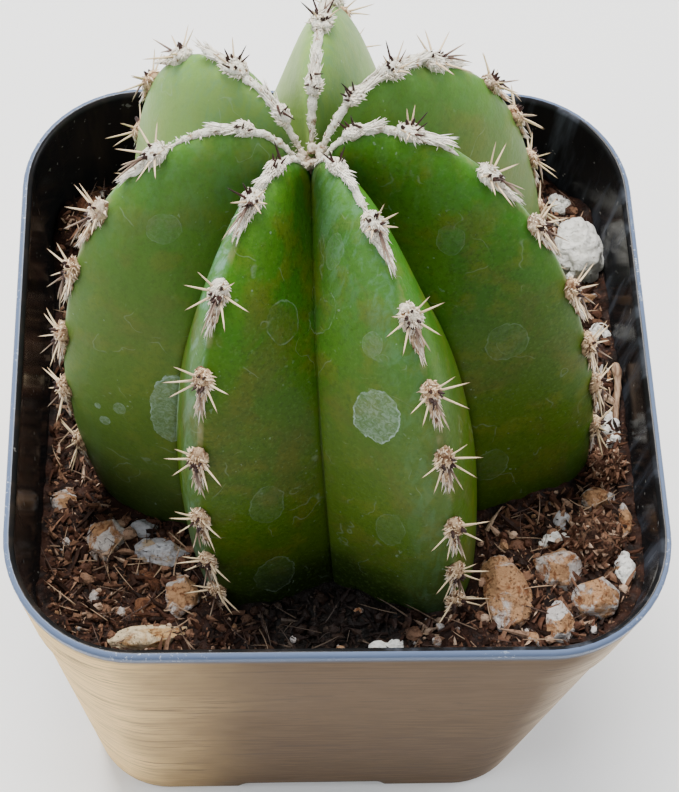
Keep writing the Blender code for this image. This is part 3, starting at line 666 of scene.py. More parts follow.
def water_mark_group():
    """one dried drop: a thin film with a bright crisp outline, ragged a little"""
    kinds = {
        "Place": "Vector", "Middle": "Vector", "Reach": "Vector", "Film": "Float", "Outline": "Float",
    }
    group, given, out = new_group("dried_drop", kinds, ["Amount"])
    far = how_far(group, given["Place"], given["Middle"], given["Reach"])
    ragged = calc(group, "SUBTRACT", grain(group, given["Place"], 1.6), 0.5)
    far = plus(group, far, times(group, ragged, 0.45))
    inside = stretch(group, far, 0.97, 1.0, 1.0, 0.0)
    ring = times(group, stretch(group, far, 0.90, 0.97), inside)
    scratch = grain(group, given["Place"], 0.8, 4.0, 0.6, 1.5)
    film = times(group, stretch(group, scratch, 0.35, 0.7, 0.35, 1.3), given["Film"])
    broken = stretch(group, grain(group, given["Place"], 2.2), 0.40, 0.56, 0.1, 1.0)
    line = times(group, times(group, ring, given["Outline"]), broken)
    feed(group, out, {"Amount": plus(group, times(group, inside, film), line)})
    return group


skin_finish, tree, shader, place = new_finish("waxy_green_skin")
across = painted(tree, "across")
down = painted(tree, "down")
bloomed = painted(tree, "bloom")
paled = painted(tree, "pale")
cloud = grain(tree, place, 14.0, 4.0)
blot = grain(tree, place, 4.5, 4.0)
fleck = grain(tree, place, 0.45, 2.0)
green = stretch(tree, cloud, 0.35, 0.65)
green = mix_colours(tree, green, (0.020, 0.115, 0.002), (0.052, 0.142, 0.004))
low = stretch(tree, down, 0.36, 0.62)
green = mix_colours(tree, times(tree, low, 0.75), green, (0.050, 0.082, 0.002))
green = mix_colours(tree, stretch(tree, blot, 0.48, 0.66, 0.0, 0.55), green, (0.105, 0.120, 0.006))
dull_patch = stretch(tree, grain(tree, place, 9.0, 5.0, 0.6, 0.4), 0.50, 0.62, 0.0, 0.45)
dull_patch = times(tree, dull_patch, stretch(tree, down, 0.2, 0.4))
green = mix_colours(tree, dull_patch, green, (0.075, 0.072, 0.010))
pores = stretch(tree, grain(tree, place, 0.6, 5.0, 0.75), 0.47, 0.66, 0.0, 0.55)
green = mix_colours(tree, pores, green, (0.020, 0.052, 0.002))
green = mix_colours(tree, paled, green, (0.290, 0.415, 0.115))
# painted highlight: the crests lighter and greener high up
rounded = times(tree, stretch(tree, across, 0.70, 1.0), stretch(tree, down, 0.62, 0.45))
green = mix_colours(tree, times(tree, rounded, 0.20), green, (0.075, 0.26, 0.02))
# painted shade in the fold of each valley, weaker low down
painted_fold_shade = stretch(tree, across, 0.0, 0.022, 0.8, 0.0)
painted_fold_shade = times(tree, painted_fold_shade, stretch(tree, down, 0.2, 0.45, 1.0, 0.35))
green = mix_colours(tree, painted_fold_shade, green, (0.006, 0.016, 0.002))
# painted shade on the foot just above the soil
painted_soil_shade = stretch(tree, down, 0.70, 0.80, 0.0, 0.7)
green = mix_colours(tree, painted_soil_shade, green, (0.012, 0.022, 0.003))
# painted shadow of the stem on the front of its foot
green = mix_colours(tree, painted_hollow_shade(tree, place, 0.85), green, (0.008, 0.016, 0.002))
green = mix_colours(tree, stretch(tree, fleck, 0.50, 0.78, 0.0, 0.26), green, (0.12, 0.21, 0.05))
streaky = drawn_out(tree, place, 1.0, 1.0, 0.22)
waxy = stretch(tree, grain(tree, streaky, 1.3, 5.0, 0.65, 0.6), 0.42, 0.66)
low_flank = stretch(tree, down, 0.25, 0.48, 0.9, 0.0)
low_flank = times(tree, stretch(tree, across, 0.10, 0.55), low_flank)
high_flank = stretch(tree, down, 0.35, 0.60, 1.0, 0.45)
high_flank = times(tree, stretch(tree, across, 0.62, 0.90), high_flank)
on_flank = times(tree, calc(tree, "MAXIMUM", high_flank, low_flank), bloomed)
wax = times(tree, on_flank, plus(tree, 0.22, times(tree, waxy, 0.85)))
marked = None
drop = water_mark_group()
for middle, half_wide, half_high, film_share, outline_share in WATER_MARKS:
    inputs = {
        "Place": place, "Middle": [length * MM for length in middle], "Film": film_share,
        "Reach": (half_wide * MM, half_wide * MM, half_high * MM), "Outline": outline_share,
    }
    amount = add_node(tree, "Group", inputs, node_tree=drop).outputs["Amount"]
    marked = amount if marked is None else calc(tree, "MAXIMUM", marked, amount)
spatter = stretch(tree, grain(tree, place, 0.8, 1.0), 0.72, 0.76)
spatter = times(tree, spatter, stretch(tree, cloud, 0.45, 0.6))
tide = calc(tree, "ABSOLUTE", calc(tree, "SUBTRACT", grain(tree, place, 11.0, 3.0, 0.5), 0.5))
tide = stretch(tree, tide, 0.0, 0.006, 0.25, 0.0)
tide = times(tree, tide, stretch(tree, blot, 0.50, 0.60))
chalk = calc(tree, "MAXIMUM", marked, times(tree, spatter, 0.45))
chalk = calc(tree, "MAXIMUM", chalk, tide)
wax_colour = stretch(tree, bloomed, 0.62, 0.88)
wax_colour = mix_colours(tree, wax_colour, (0.110, 0.235, 0.130), (0.25, 0.38, 0.35))
green = mix_colours(tree, wax, green, wax_colour)
green = mix_colours(tree, times(tree, chalk, 0.75), green, (0.31, 0.41, 0.33))
corky = stretch(tree, blot, 0.45, 0.65, 0.0, 0.4)
corky = times(tree, stretch(tree, across, 0.990, 0.999), corky)
green = mix_colours(tree, corky, green, (0.30, 0.25, 0.13))
dull = plus(tree, 0.36, times(tree, chalk, 0.3))
dull = plus(tree, dull, times(tree, wax, 0.25))
dull = plus(tree, dull, times(tree, blot, 0.15))
feed(tree, shader, {"Base Color": green, "Roughness": dull, "Specular IOR Level": 0.12})
skin_relief = plus(tree, times(tree, blot, 1.2), times(tree, fleck, 0.12))
bump(tree, shader, plus(tree, skin_relief, times(tree, chalk, 0.12)), 0.35, 0.5)

points_to_a_rib = 2 * len(ACROSS)
around = len(RIBS) * points_to_a_rib
rows = STEM_PLACES * ROWS_TO_A_PLACE + 1
work = straight_tube(around, rows + 2)
layers = [work.verts.layers.float.new(name) for name in ("across", "down", "bloom", "pale")]
for vert in work.verts:
    spot, row = tube_spot(vert, around)
    index, step = divmod(spot, points_to_a_rib)
    side = 0 if step <= len(ACROSS) else 1
    share = 1.0 if step == len(ACROSS) else ACROSS[step if side == 0 else points_to_a_rib - step]
    place_down = (min(max(row, 1), rows) - 1) / ROWS_TO_A_PLACE
    if row == 0:
        vert.co = stem_point(0, 0, CROWN_DIP)
    elif row == rows + 1:
        vert.co = stem_point(0, 0, FOOT_END)
    else:
        vert.co = rib_point(index, side, share, place_down)
    values = RIBS[index]
    vert[layers[0]] = share
    vert[layers[1]] = place_down / STEM_PLACES
    vert[layers[2]] = values[3 + side] if share < 1.0 else (values[3] + values[4]) / 2
    vert[layers[3]] = values[5 + side] if share < 1.0 else (values[5] + values[6]) / 2
close_up(work)
stem_tree = BVHTree.FromBMesh(work)
stem = add_piece("stem_skin", work, skin_finish)
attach(stem, "root")
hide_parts("cactus_stem")


# Areoles: pads of matted cream wool in a row down each crest, with the brown stumps of the newest
# spines in them and a ragged white tail below. At the crown they run together as a strip of felt.
FELT_FROM = 0.15
FELT_UNTIL = 5.2
FELT_ROWS = 60
FELT_WIDTH = 0.55 * MM
FELT_HEIGHT = 0.42 * MM
FELT_FIBRES = 150
PAD_WIDTH = 1.20 * MM
PAD_LENGTH = 1.70 * MM
PAD_HEIGHT = 1.00 * MM
TAIL_WIDTH = 0.70 * MM
TAIL_LENGTH = 2.10 * MM
TAIL_HEIGHT = 0.30 * MM
STRIP_OVER_SOIL = 2.2 * MM
PAD_FIBRES = 135
TAIL_FIBRES = 46
PAD_RAGGED = 0.30
TAIL_RAGGED = 0.50
CROWN_WOOL = 0.62 * MM
CROWN_TUFT = (1.3 * MM, 1.1 * MM)
CROWN_RAGGED = 0.50
FELT_SIDES = 12
FELT_FIBRE = 0.085 * MM
FIBRE_STEPS = 3
STRAND_APART = 10.0
STRAND_GAP = 0.0002 * MM
# places of the pads down each crest, counted as in the crest's profile
AREOLES = {
    "front_left": (2.8, 4.3, 6.9, 9.0, 10.7, 11.9, 12.8, 13.5),
    "front_right": (2.6, 4.9, 7.2, 8.9, 10.3, 11.6, 12.5, 13.1),
    "right": (1.9, 3.7, 6.1, 7.8, 9.6, 10.8, 11.6, 12.4),
    "back_right": (2.3, 3.8, 5.3, 7.8, 9.3, 10.6, 11.8, 12.7),
    "back": (2.1, 4.4, 6.6, 8.5, 10.2, 11.5, 12.5, 13.3),
    "back_left": (1.6, 3.8, 6.5, 8.7, 10.6, 11.8, 12.8, 13.6),
    "left": (2.6, 5.4, 7.7, 9.4, 10.9, 12.0, 13.0),
}


def crest_frame(index, place):
    """a place on a crest, with its outward, down-the-crest and sideways directions"""
    angle = rib_direction(index)
    points = []
    for at in (place - 0.05, place, place + 0.05):
        radius, height = crest_at(at, RIBS[index][2])
        points.append(stem_point(radius * math.cos(angle), radius * math.sin(angle), height))
    down = (points[2] - points[0]).normalized()
    side = Vector((-math.sin(angle), math.cos(angle), 0.0))
    side = (side - down * side.dot(down)).normalized()
    return points[1], down.cross(side), down, side


def wool_lump(work, middle, axes, ragged):
    """a matted lump of wool, its three half axes given as vectors"""
    lump = bmesh.ops.create_icosphere(work, subdivisions=3, radius=1.0)["verts"]
    for vert in lump:
        way = vert.co.copy()
        spot = middle + axes[0] * way.x + axes[1] * way.y + axes[2] * way.z
        clumps = noise.noise(spot / (0.75 * MM))
        wisps = noise.noise(spot / (0.28 * MM))
        vert.co = middle + (spot - middle) * (1 + ragged * clumps + 0.5 * ragged * wisps)


def repeat_in_row(work, count):
    """the shape in a bmesh repeated along x, first as a batch and then batch by batch"""
    batch = math.ceil(math.sqrt(count))
    for copies, apart in ((batch, STRAND_APART), (math.ceil(count / batch), STRAND_APART * batch)):
        bmesh.ops.spin(work, geom=work.verts[:] + work.edges[:] + work.faces[:], axis=(0, 0, 1),
                       dvec=(apart, 0, 0), steps=copies - 1, use_duplicate=True)
    spare = [vert for vert in work.verts if vert.co.x > STRAND_APART * (count - 0.5)]
    bmesh.ops.delete(work, geom=spare, context="VERTS")


def straight_strands(count, sides, steps):
    """a row of upright rods of unit radius, with a ring at each step"""
    work = bmesh.new()
    bmesh.ops.create_circle(work, segments=sides, radius=1.0)
    repeat_in_row(work, count)
    geometry = work.verts[:] + work.edges[:]
    bmesh.ops.spin(work, geom=geometry, axis=(0, 0, 1), dvec=(0, 0, 1), steps=steps)
    return work


def bend_strands(work, strands, steps, taper, flat=1.0):
    """each rod laid along a path of its own and drawn out to a point, then its tip closed"""
    tone_layer = work.verts.layers.float.new("tone")
    tip_layer = work.verts.layers.float.new("tip")
    for vert in work.verts:
        number = round(vert.co.x / STRAND_APART)
        root, way, length, radius, bend, tone = strands[number]
        share = vert.co.z / steps
        across = way.orthogonal().normalized()
        other = way.cross(across)
        thick = radius * max(1 - share, 0.0) ** taper
        middle = root + way * (length * share) + bend * share * share
        aside = across * (vert.co.x - STRAND_APART * number) + other * (vert.co.y * flat)
        vert.co = middle + aside * thick
        vert[tone_layer] = tone
        vert[tip_layer] = share
    close_up(work, STRAND_GAP)


def add_to(work, part):
    """one bmesh put into another"""
    mesh = bpy.data.meshes.new("part")
    part.to_mesh(mesh)
    part.free()
    work.from_mesh(mesh)
    bpy.data.meshes.remove(mesh)


def any_way(pick):
    """a direction picked evenly from all round"""
    return Vector((pick.gauss(0, 1), pick.gauss(0, 1), pick.gauss(0, 1))).normalized()


wool_finish, tree, shader, place = new_finish("matted_areole_wool")
tuft = grain(tree, place, 0.8, 4.0)
fibre = grain(tree, place, 0.22, 4.0, 0.7, 1.0)
high = add_node(tree, "SeparateXYZ", {0: place}).outputs["Z"]
at_crown = stretch(tree, high, 0.127, 0.134)
low_wool = stretch(tree, tuft, 0.35, 0.65)
low_wool = mix_colours(tree, low_wool, (0.14, 0.070, 0.038), (0.66, 0.46, 0.28))
high_wool = stretch(tree, tuft, 0.30, 0.50)
high_wool = mix_colours(tree, high_wool, (0.24, 0.15, 0.08), (0.76, 0.74, 0.64))
wool = mix_colours(tree, at_crown, low_wool, high_wool)
wool = mix_colours(tree, stretch(tree, fibre, 0.52, 0.70, 0.0, 0.5), wool, (0.13, 0.065, 0.035))
feed(tree, shader, {"Base Color": wool, "Roughness": 0.95, "Specular IOR Level": 0.1})
bump(tree, shader, plus(tree, fibre, tuft), 0.9, 0.2)

fibre_finish, tree, shader, place = new_finish("cream_wool_fibres")
tone = painted(tree, "tone")
tip = painted(tree, "tip")
hair = mix_colours(tree, stretch(tree, tone, 0.0, 0.22), (0.34, 0.18, 0.09), (0.86, 0.64, 0.39))
hair = mix_colours(tree, stretch(tree, tone, 0.22, 0.60), hair, (0.84, 0.68, 0.54))
hair = mix_colours(tree, stretch(tree, tone, 0.60, 1.0), hair, (0.93, 0.87, 0.78))
# dark brown spots at random over the fibres
dark_brown_spots = stretch(tree, grain(tree, place, 0.9), 0.56, 0.68, 0.0, 0.7)
hair = mix_colours(tree, dark_brown_spots, hair, (0.30, 0.15, 0.08))
hair = mix_colours(tree, times(tree, tip, 0.3), hair, (0.92, 0.85, 0.74))
high = add_node(tree, "SeparateXYZ", {0: place}).outputs["Z"]
hair = mix_colours(tree, stretch(tree, high, 0.124, 0.134, 0.0, 0.6), hair, (0.84, 0.84, 0.76))
feed(tree, shader, {"Base Color": hair, "Roughness": 0.8, "Specular IOR Level": 0.15})

for index, values in enumerate(RIBS):
    pick = random.Random(200 + index)
    work = bmesh.new()
    felt = straight_tube(FELT_SIDES, FELT_ROWS)
    for vert in felt.verts:
        spot, row = tube_spot(vert, FELT_SIDES)
        share = row / (FELT_ROWS - 1)
        point, out, down, side = crest_frame(index, FELT_FROM + (FELT_UNTIL - FELT_FROM) * share)
        round_it = math.sqrt(max(0.0, min(1.0, share * 9, (1 - share) * 4)))
        thin = round_it * (0.55 + 0.45 * min(1.0, share * 5)) * (1 - 0.5 * max(0.0, share - 0.55))
        angle = spot / FELT_SIDES * math.tau
        lift = math.sin(angle) if angle < math.pi else 0.6 * math.sin(angle)
        spot = point + side * (math.cos(angle) * FELT_WIDTH * thin) + out * (lift * FELT_HEIGHT * thin)
        ragged = noise.noise(spot / (0.8 * MM)) * 0.30 + noise.noise(spot / (0.3 * MM)) * 0.14
        vert.co = spot + (side * math.cos(angle) + out * max(lift, 0)) * ragged * MM * round_it
    close_up(felt)
    add_to(work, felt)
    strands = []
    for number in range(FELT_FIBRES):
        point, out, down, side = crest_frame(index, pick.uniform(FELT_FROM + 0.1, FELT_UNTIL - 0.2))
        lean = pick.uniform(-1, 1)
        root = point + side * (lean * FELT_WIDTH * 0.8) + out * FELT_HEIGHT * (1 - abs(lean)) * 0.8
        way = side * lean * 0.8 + down * pick.uniform(-0.4, 1.0) + out * pick.uniform(0.1, 0.6)
        length = pick.uniform(0.3, 0.7) * MM
        tone = pick.random() ** 0.6
        strands.append((root, way.normalized(), length, FELT_FIBRE, -out * 0.35 * MM, tone))
    for place_down in AREOLES[values[0]]:
        point, out, down, side = crest_frame(index, place_down)
        if point.z < soil_height(point.x, point.y) + STRIP_OVER_SOIL:
            continue
        size = 0.8 if place_down < 3.0 else pick.uniform(0.95, 1.12)
        middle = point + out * 0.2 * MM
        axes = (side * PAD_WIDTH * size, down * PAD_LENGTH * size, out * PAD_HEIGHT * size)
        wool_lump(work, middle, axes, PAD_RAGGED)
        tail = point + down * (PAD_LENGTH * size + TAIL_LENGTH * 0.4) + out * 0.05 * MM
        axes = (side * TAIL_WIDTH * size, down * TAIL_LENGTH * size, out * TAIL_HEIGHT * size)
        wool_lump(work, tail, axes, TAIL_RAGGED)
        for number in range(PAD_FIBRES):
            way = any_way(pick)
            way.z = abs(way.z)
            flat = side * way.x + down * way.y
            root = middle + side * way.x * PAD_WIDTH * size + down * way.y * PAD_LENGTH * size
            root += out * way.z * PAD_HEIGHT * size
            tone = pick.uniform(0.0, 0.45) + 0.3 * (way.y > 0)
            way = flat * 0.45 + down * 0.55 + out * (way.z * 0.1 - 0.05) + any_way(pick) * 0.45
            length = pick.uniform(0.35, 0.80) * MM * size
            radius = pick.uniform(0.10, 0.17) * MM
            bend = (down * 0.4 - out * 0.9) * pick.uniform(0.1, 0.5) * MM
            strands.append((root, way.normalized(), length, radius, bend, tone))
        for number in range(TAIL_FIBRES):
            start = pick.uniform(0.45, 2.2) * TAIL_LENGTH * size
            narrow = 1 - 0.25 * start / TAIL_LENGTH
            aside = pick.uniform(-1, 1) * TAIL_WIDTH * narrow
            root = point + down * start + side * aside + out * pick.uniform(0.0, 0.3) * MM
            lean = aside / MM * 0.3 + pick.uniform(-0.3, 0.3)
            way = (down + side * lean + out * pick.uniform(-0.02, 0.3)).normalized()
            length = pick.uniform(0.9, 2.3) * MM
            radius = pick.uniform(0.09, 0.15) * MM
            bend = -out * pick.uniform(0, 0.35) * MM
            strands.append((root, way, length, radius, bend, pick.uniform(0.35, 1.0)))
    bmesh.ops.recalc_face_normals(work, faces=work.faces)
    pads = add_piece("wool_" + values[0], work, wool_finish)
    close = straight_strands(len(strands), 3, FIBRE_STEPS)
    bend_strands(close, strands, FIBRE_STEPS, 0.55, 0.7)
    fluff = add_piece("wool_fibres_" + values[0], close, fibre_finish)
    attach(pads, "root")
    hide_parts("areoles_" + values[0])
    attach(fluff, "root")

pick = random.Random(90)
work = bmesh.new()
for index in range(len(RIBS)):
    point, out, down, side = crest_frame(index, 0.25)
    middle = point + out * pick.uniform(0.1, 0.5) * MM + down * pick.uniform(-0.6, 0.2) * MM
    axes = (side * CROWN_WOOL, down * CROWN_WOOL * 1.3, out * CROWN_WOOL)
    wool_lump(work, middle, axes, CROWN_RAGGED)
wide, high = CROWN_TUFT
axes = (Vector((wide, 0, 0)), Vector((0, wide, 0)), Vector((0, 0, high)))
wool_lump(work, stem_point(0, 0, CROWN_DIP), axes, CROWN_RAGGED)
bmesh.ops.recalc_face_normals(work, faces=work.faces)
crown = add_piece("wool_crown", work, wool_finish)
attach(crown, "root")
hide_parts("areoles_crown")


# Spines: stiff straw-coloured needles, five to seven round each pad, slightly flat and curved, with
# browner roots and tips, and one or two long grey ones lying down over the tail. The young ones at
# the crown are short, thick and dark red-brown.
DOWN_SPINE = 178
# spines round a pad: direction from up the crest and rise over the skin in degrees, length in mm
SPINES = (
    (48, 34, 3.9), (-50, 34, 3.7), (92, 26, 4.7), (-94, 26, 4.6), (136, 24, 4.9), (-138, 24, 4.8),
    (DOWN_SPINE, 40, 4.4),
)
CROWN_SPINES = ((35, 50, 2.6), (-40, 54, 2.4), (150, 44, 3.0))
CROWN_UNTIL = 3.0
SPINE_ROOT = 0.18 * MM
YOUNG_ROOT = 0.20 * MM
SPINE_SPREAD = 0.5 * MM
SPINE_LIFT = 0.55 * MM
SPINE_SHARE = 0.9
SHORTEST_SPINE = 1.8 * MM
YOUNG_UNTIL = 5.0
YOUNG_RISE = 22
YOUNG_SHARE = 0.72
LONG_SPINE = 6.4 * MM
LONG_FROM = 4.0
LONG_RADIUS = 0.21 * MM
STUMPS = 5
STUMP_RADIUS = 0.33 * MM
BROKEN_SPINES = 4
BROKEN_RADIUS = 0.26 * MM
GREY_TONE = 0.70
DARK_TONE = 0.95
SPINE_STEPS = 7

spine_finish, tree, shader, place = new_finish("straw_spines")
tone = painted(tree, "tone")
tip = painted(tree, "tip")
straw = mix_colours(tree, grain(tree, place, 1.1, 3.0), (0.86, 0.70, 0.46), (0.58, 0.41, 0.24))
straw = mix_colours(tree, stretch(tree, tip, 0.72, 1.0, 0.0, 0.6), straw, (0.16, 0.08, 0.04))
straw = mix_colours(tree, stretch(tree, tip, 0.05, 0.35, 0.7, 0.0), straw, (0.14, 0.06, 0.03))
dark = mix_colours(tree, tip, (0.045, 0.013, 0.008), (0.016, 0.006, 0.005))
grey = mix_colours(tree, stretch(tree, tip, 0.15, 0.6), (0.060, 0.028, 0.020), (0.22, 0.15, 0.11))
grey = mix_colours(tree, stretch(tree, tip, 0.5, 1.0), grey, (0.48, 0.38, 0.27))
old = mix_colours(tree, stretch(tree, tone, 0.62, 0.66), straw, grey)
needle = mix_colours(tree, stretch(tree, tone, 0.86, 0.90), old, dark)
feed(tree, shader, {"Base Color": needle, "Roughness": 0.5, "Specular IOR Level": 0.3})
bump(tree, shader, grain(tree, place, 0.2, 2.0), 0.3, 0.1)

for index, values in enumerate(RIBS):
    pick = random.Random(70 + index)
    extra = random.Random(300 + index)
    strands = []
    for place_down in AREOLES[values[0]]:
        point, out, down, side = crest_frame(index, place_down)
        if point.z < soil_height(point.x, point.y) + STRIP_OVER_SOIL:
            continue
        young = place_down < YOUNG_UNTIL
        newest = place_down < CROWN_UNTIL
        for degrees, rise, length in (CROWN_SPINES if newest else SPINES):
            turn = math.radians(degrees + pick.uniform(-9, 9))
            lift = math.radians(rise + pick.uniform(-7, 7) + (YOUNG_RISE if young else 0))
            reach = length * MM * pick.uniform(0.88, 1.1) * (YOUNG_SHARE if young else 1.0)
            crest_radius = crest_at(place_down, values[2])[0]
            reach = min(reach, crest_radius * 0.42 * MM / max(math.cos(lift), 0.3))
            if reach < SHORTEST_SPINE:
                continue
            flat = side * math.sin(turn) - down * math.cos(turn)
            way = flat * math.cos(lift) + out * math.sin(lift)
            start = point + out * SPINE_LIFT + flat * SPINE_SPREAD
            end = start + way * reach
            half = pot_half(end.z)[0] - INNER_WALL
            if end.z < soil_height(end.x, end.y) + 0.4 * MM:
                continue
            if end.z < POT_HEIGHT and max(abs(end.x), abs(end.y)) > half:
                continue
            tone = GREY_TONE if degrees == DOWN_SPINE else extra.uniform(0.0, 0.55)
            if newest or (young and extra.random() < 0.5):
                tone = DARK_TONE
            radius = YOUNG_ROOT if tone == DARK_TONE else SPINE_ROOT
            bend = out * extra.uniform(-0.45, 0.2) * MM
            strands.append((start, way, reach * SPINE_SHARE, radius, bend, tone))
        for number in range(1 if newest else STUMPS):
            turn = extra.uniform(0, math.tau)
            aside = side * math.sin(turn) * 0.6 * MM - down * math.cos(turn) * 0.75 * MM
            root = point + out * (PAD_HEIGHT * 0.8) + aside
            way = (out + aside / MM * 0.35 + any_way(extra) * 0.2).normalized()
            thick = YOUNG_ROOT if newest else STUMP_RADIUS
            strands.append((root, way, extra.uniform(0.75, 1.2) * MM, thick, aside * 0.2, DARK_TONE))
        for number in range(0 if young else BROKEN_SPINES):
            lean = extra.uniform(-0.9, 0.9)
            root = point + out * PAD_HEIGHT * extra.uniform(0.75, 1.0)
            root += down * extra.uniform(0.0, 0.9) * MM + side * lean * 0.4 * MM
            way = (down + side * lean + out * 0.15).normalized()
            length = extra.uniform(1.0, 1.7) * MM
            strands.append((root, way, length, BROKEN_RADIUS, -out * 0.3 * MM, DARK_TONE))
        if newest:
            for number in range(2):
                way = out * 0.8 + side * extra.uniform(-0.7, 0.7) - down * extra.uniform(-0.2, 0.7)
                way.normalize()
                root = point + out * 0.5 * MM + down * extra.uniform(-1.5, 1.5) * MM
                length = extra.uniform(1.8, 2.9) * MM
                strands.append((root, way, length, YOUNG_ROOT, way * 0.0, DARK_TONE))
        elif place_down > LONG_FROM:
            for number in range(1 + (extra.random() < 0.5)):
                lean = extra.uniform(-0.3, 0.3)
                way = (down + side * lean + out * extra.uniform(0.10, 0.22)).normalized()
                root = point + out * 0.95 * MM + down * 0.2 * MM - side * lean * MM
                length = LONG_SPINE * extra.uniform(0.7, 1.0)
                strands.append((root, way, length, LONG_RADIUS, -out * 0.8 * MM, GREY_TONE))
    work = straight_strands(len(strands), 6, SPINE_STEPS)
    bend_strands(work, strands, SPINE_STEPS, 0.5, 0.75)
    needles = add_piece("spines_" + values[0], work, spine_finish)
    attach(needles, "root")


# Stones: broken granite and quartz grit, tan, orange or cream with grey-white faces, larger bits of
# white perlite, red-brown bark chips and lumps of coir, pressed by hand into the top of the soil.
STONE_CUTS = 11
FINE_FROM = 3.5
LUMP_FLAKES = 520
LUMP_WIDTH = 6.0
# stones and lumps: name, kind, x, y, width, depth, height, share above the soil, turn, warmth
STONES = (
    ("stone_orange_oval", "tan", 23.2, -32.2, 6.6, 11.6, 6.4, 0.62, 8, 0.85),
    ("stone_wedge", "tan", 30.3, -29.0, 7.6, 6.2, 5.6, 0.62, -25, 0.60),
    ("stone_grey_orange", "tan", 35.4, -33.7, 7.0, 6.4, 5.4, 0.62, 15, 0.45),
    ("stone_low_middle", "tan", 29.9, -37.1, 4.4, 7.0, 4.6, 0.60, 0, 0.40),
    ("stone_small_low", "tan", 26.3, -38.9, 2.2, 4.0, 2.3, 0.60, 30, 0.60),
    ("stone_round_right", "tan", 37.0, -18.5, 5.8, 4.2, 4.2, 0.62, 10, 0.55),
    ("coir_lump", "coir", 35.9, -25.0, 6.8, 7.4, 6.4, 0.66, 20, 0.5),
    ("perlite_middle", "perlite", 30.4, -24.4, 4.3, 2.2, 2.3, 0.62, 5, 0.0),
    ("perlite_right", "perlite", 39.6, -29.3, 2.4, 4.8, 2.8, 0.62, 0, 0.0),
    ("stone_right_edge", "tan", 40.4, -21.9, 2.3, 5.2, 2.6, 0.60, 0, 0.80),
    ("stone_long_cream", "cream", -25.6, -35.8, 14.2, 3.9, 4.1, 0.60, 6, 0.35),
    ("stone_grey_white", "grey", -24.1, -23.4, 8.2, 4.6, 4.6, 0.62, -12, 0.35),
    ("stone_small_left", "grey", -26.6, -19.5, 5.0, 3.4, 2.9, 0.60, -8, 0.10),
    ("stone_yellowish", "tan", -32.0, -20.8, 6.5, 6.8, 5.2, 0.60, 18, 0.45),
    ("stone_big_tan", "tan", -21.3, -30.1, 5.4, 7.2, 5.4, 0.60, -15, 0.75),
    ("stone_left_edge", "tan", -38.3, -14.2, 4.2, 4.0, 3.4, 0.60, 0, 0.30),
    ("chip_left", "bark", -26.3, -31.7, 3.4, 3.2, 2.6, 0.62, 40, 0.3),
    ("chip_bark", "bark", -25.6, -27.4, 3.0, 4.8, 3.0, 0.64, 25, 0.8),
    ("perlite_front", "perlite", 6.3, -39.2, 5.0, 2.2, 2.8, 0.60, 4, 0.0),
    ("perlite_big", "perlite", 38.2, 23.4, 7.4, 10.8, 8.2, 0.72, -10, 0.0),
    ("perlite_right_back", "perlite", 40.3, 9.4, 3.0, 3.1, 2.7, 0.62, 0, 0.0),
    ("stone_right_wall", "tan", 40.2, 1.9, 2.6, 3.8, 2.8, 0.62, 10, 0.50),
    ("perlite_right_wall", "perlite", 40.1, -7.5, 2.2, 5.8, 2.4, 0.60, 0, 0.0),
    ("perlite_corner", "perlite", 36.8, 33.6, 3.0, 4.0, 3.2, 0.62, 20, 0.0),
    ("chip_back_left", "bark", -36.0, 32.6, 4.3, 4.6, 3.5, 0.66, 30, 0.7),
    ("stone_back_left", "tan", -18.0, 36.5, 4.6, 3.2, 3.0, 0.60, -14, 0.40),
    ("perlite_back", "perlite", -3.0, 38.0, 3.4, 2.6, 2.8, 0.62, 12, 0.0),
    ("stone_back_right", "grey", 17.0, 36.4, 5.2, 3.6, 3.4, 0.60, 9, 0.20),
    ("stone_left_wall", "cream", -38.4, 6.5, 2.8, 4.2, 2.8, 0.60, 7, 0.30),
    ("stone_grey_middle", "grey", 31.8, -21.3, 2.8, 3.4, 2.9, 0.62, 10, 0.10),
    ("coir_block", "coir", 38.9, -13.3, 4.4, 4.2, 3.7, 0.62, 15, 0.3),
    ("stone_under_perlite", "tan", 38.9, 15.8, 4.0, 2.3, 2.5, 0.62, 5, 0.60),
)
STONE_ROUGHNESS = {"tan": 0.16, "cream": 0.14, "grey": 0.12, "coir": 0.2, "bark": 0.24, "perlite": 0.12}


def broken_stone_group():
    """the look of broken rock: patches of two minerals, stains, small pits and a height"""
    put_out = ("Patch", "Stain", "Pits", "Height")
    group, given, out = new_group("broken_rock", {"Place": "Vector"}, put_out)
    place = given["Place"]
    patch = grain(group, place, 3.0, 7.0, 0.70, 0.6)
    stain = grain(group, place, 1.5, 5.0, 0.65, 0.8)
    pits = stretch(group, grain(group, place, 0.5, 4.0, 0.65), 0.56, 0.70)
    rough = plus(group, grain(group, place, 0.9, 6.0, 0.7), times(group, pits, -0.35))
    feed(group, out, dict(zip(put_out, (patch, stain, pits, rough))))
    return group


def rock_finish(name, pale, warm, stained, rust, pit_colour):
    """a broken rock of two mixed colours, with stains and dark pits"""
    finish, tree, shader, place = new_finish(name)
    broken = add_node(tree, "Group", {"Place": place}, node_tree=broken_rock).outputs
    shift = times(tree, calc(tree, "SUBTRACT", painted(tree, "warmth"), 0.5), 0.34)
    patch = plus(tree, broken["Patch"], shift)
    rock = mix_colours(tree, stretch(tree, patch, 0.43, 0.57), pale, warm)
    share = stretch(tree, patch, 0.36, 0.62, 0.15, stained)
    rusty = times(tree, stretch(tree, broken["Stain"], 0.48, 0.64), share)
    rock = mix_colours(tree, rusty, rock, rust)
    rock = mix_colours(tree, times(tree, broken["Pits"], 0.75), rock, pit_colour)
    feed(tree, shader, {"Base Color": rock, "Roughness": 0.82, "Specular IOR Level": 0.25})
    bump(tree, shader, broken["Height"], 1.0, 0.8)
    return finish


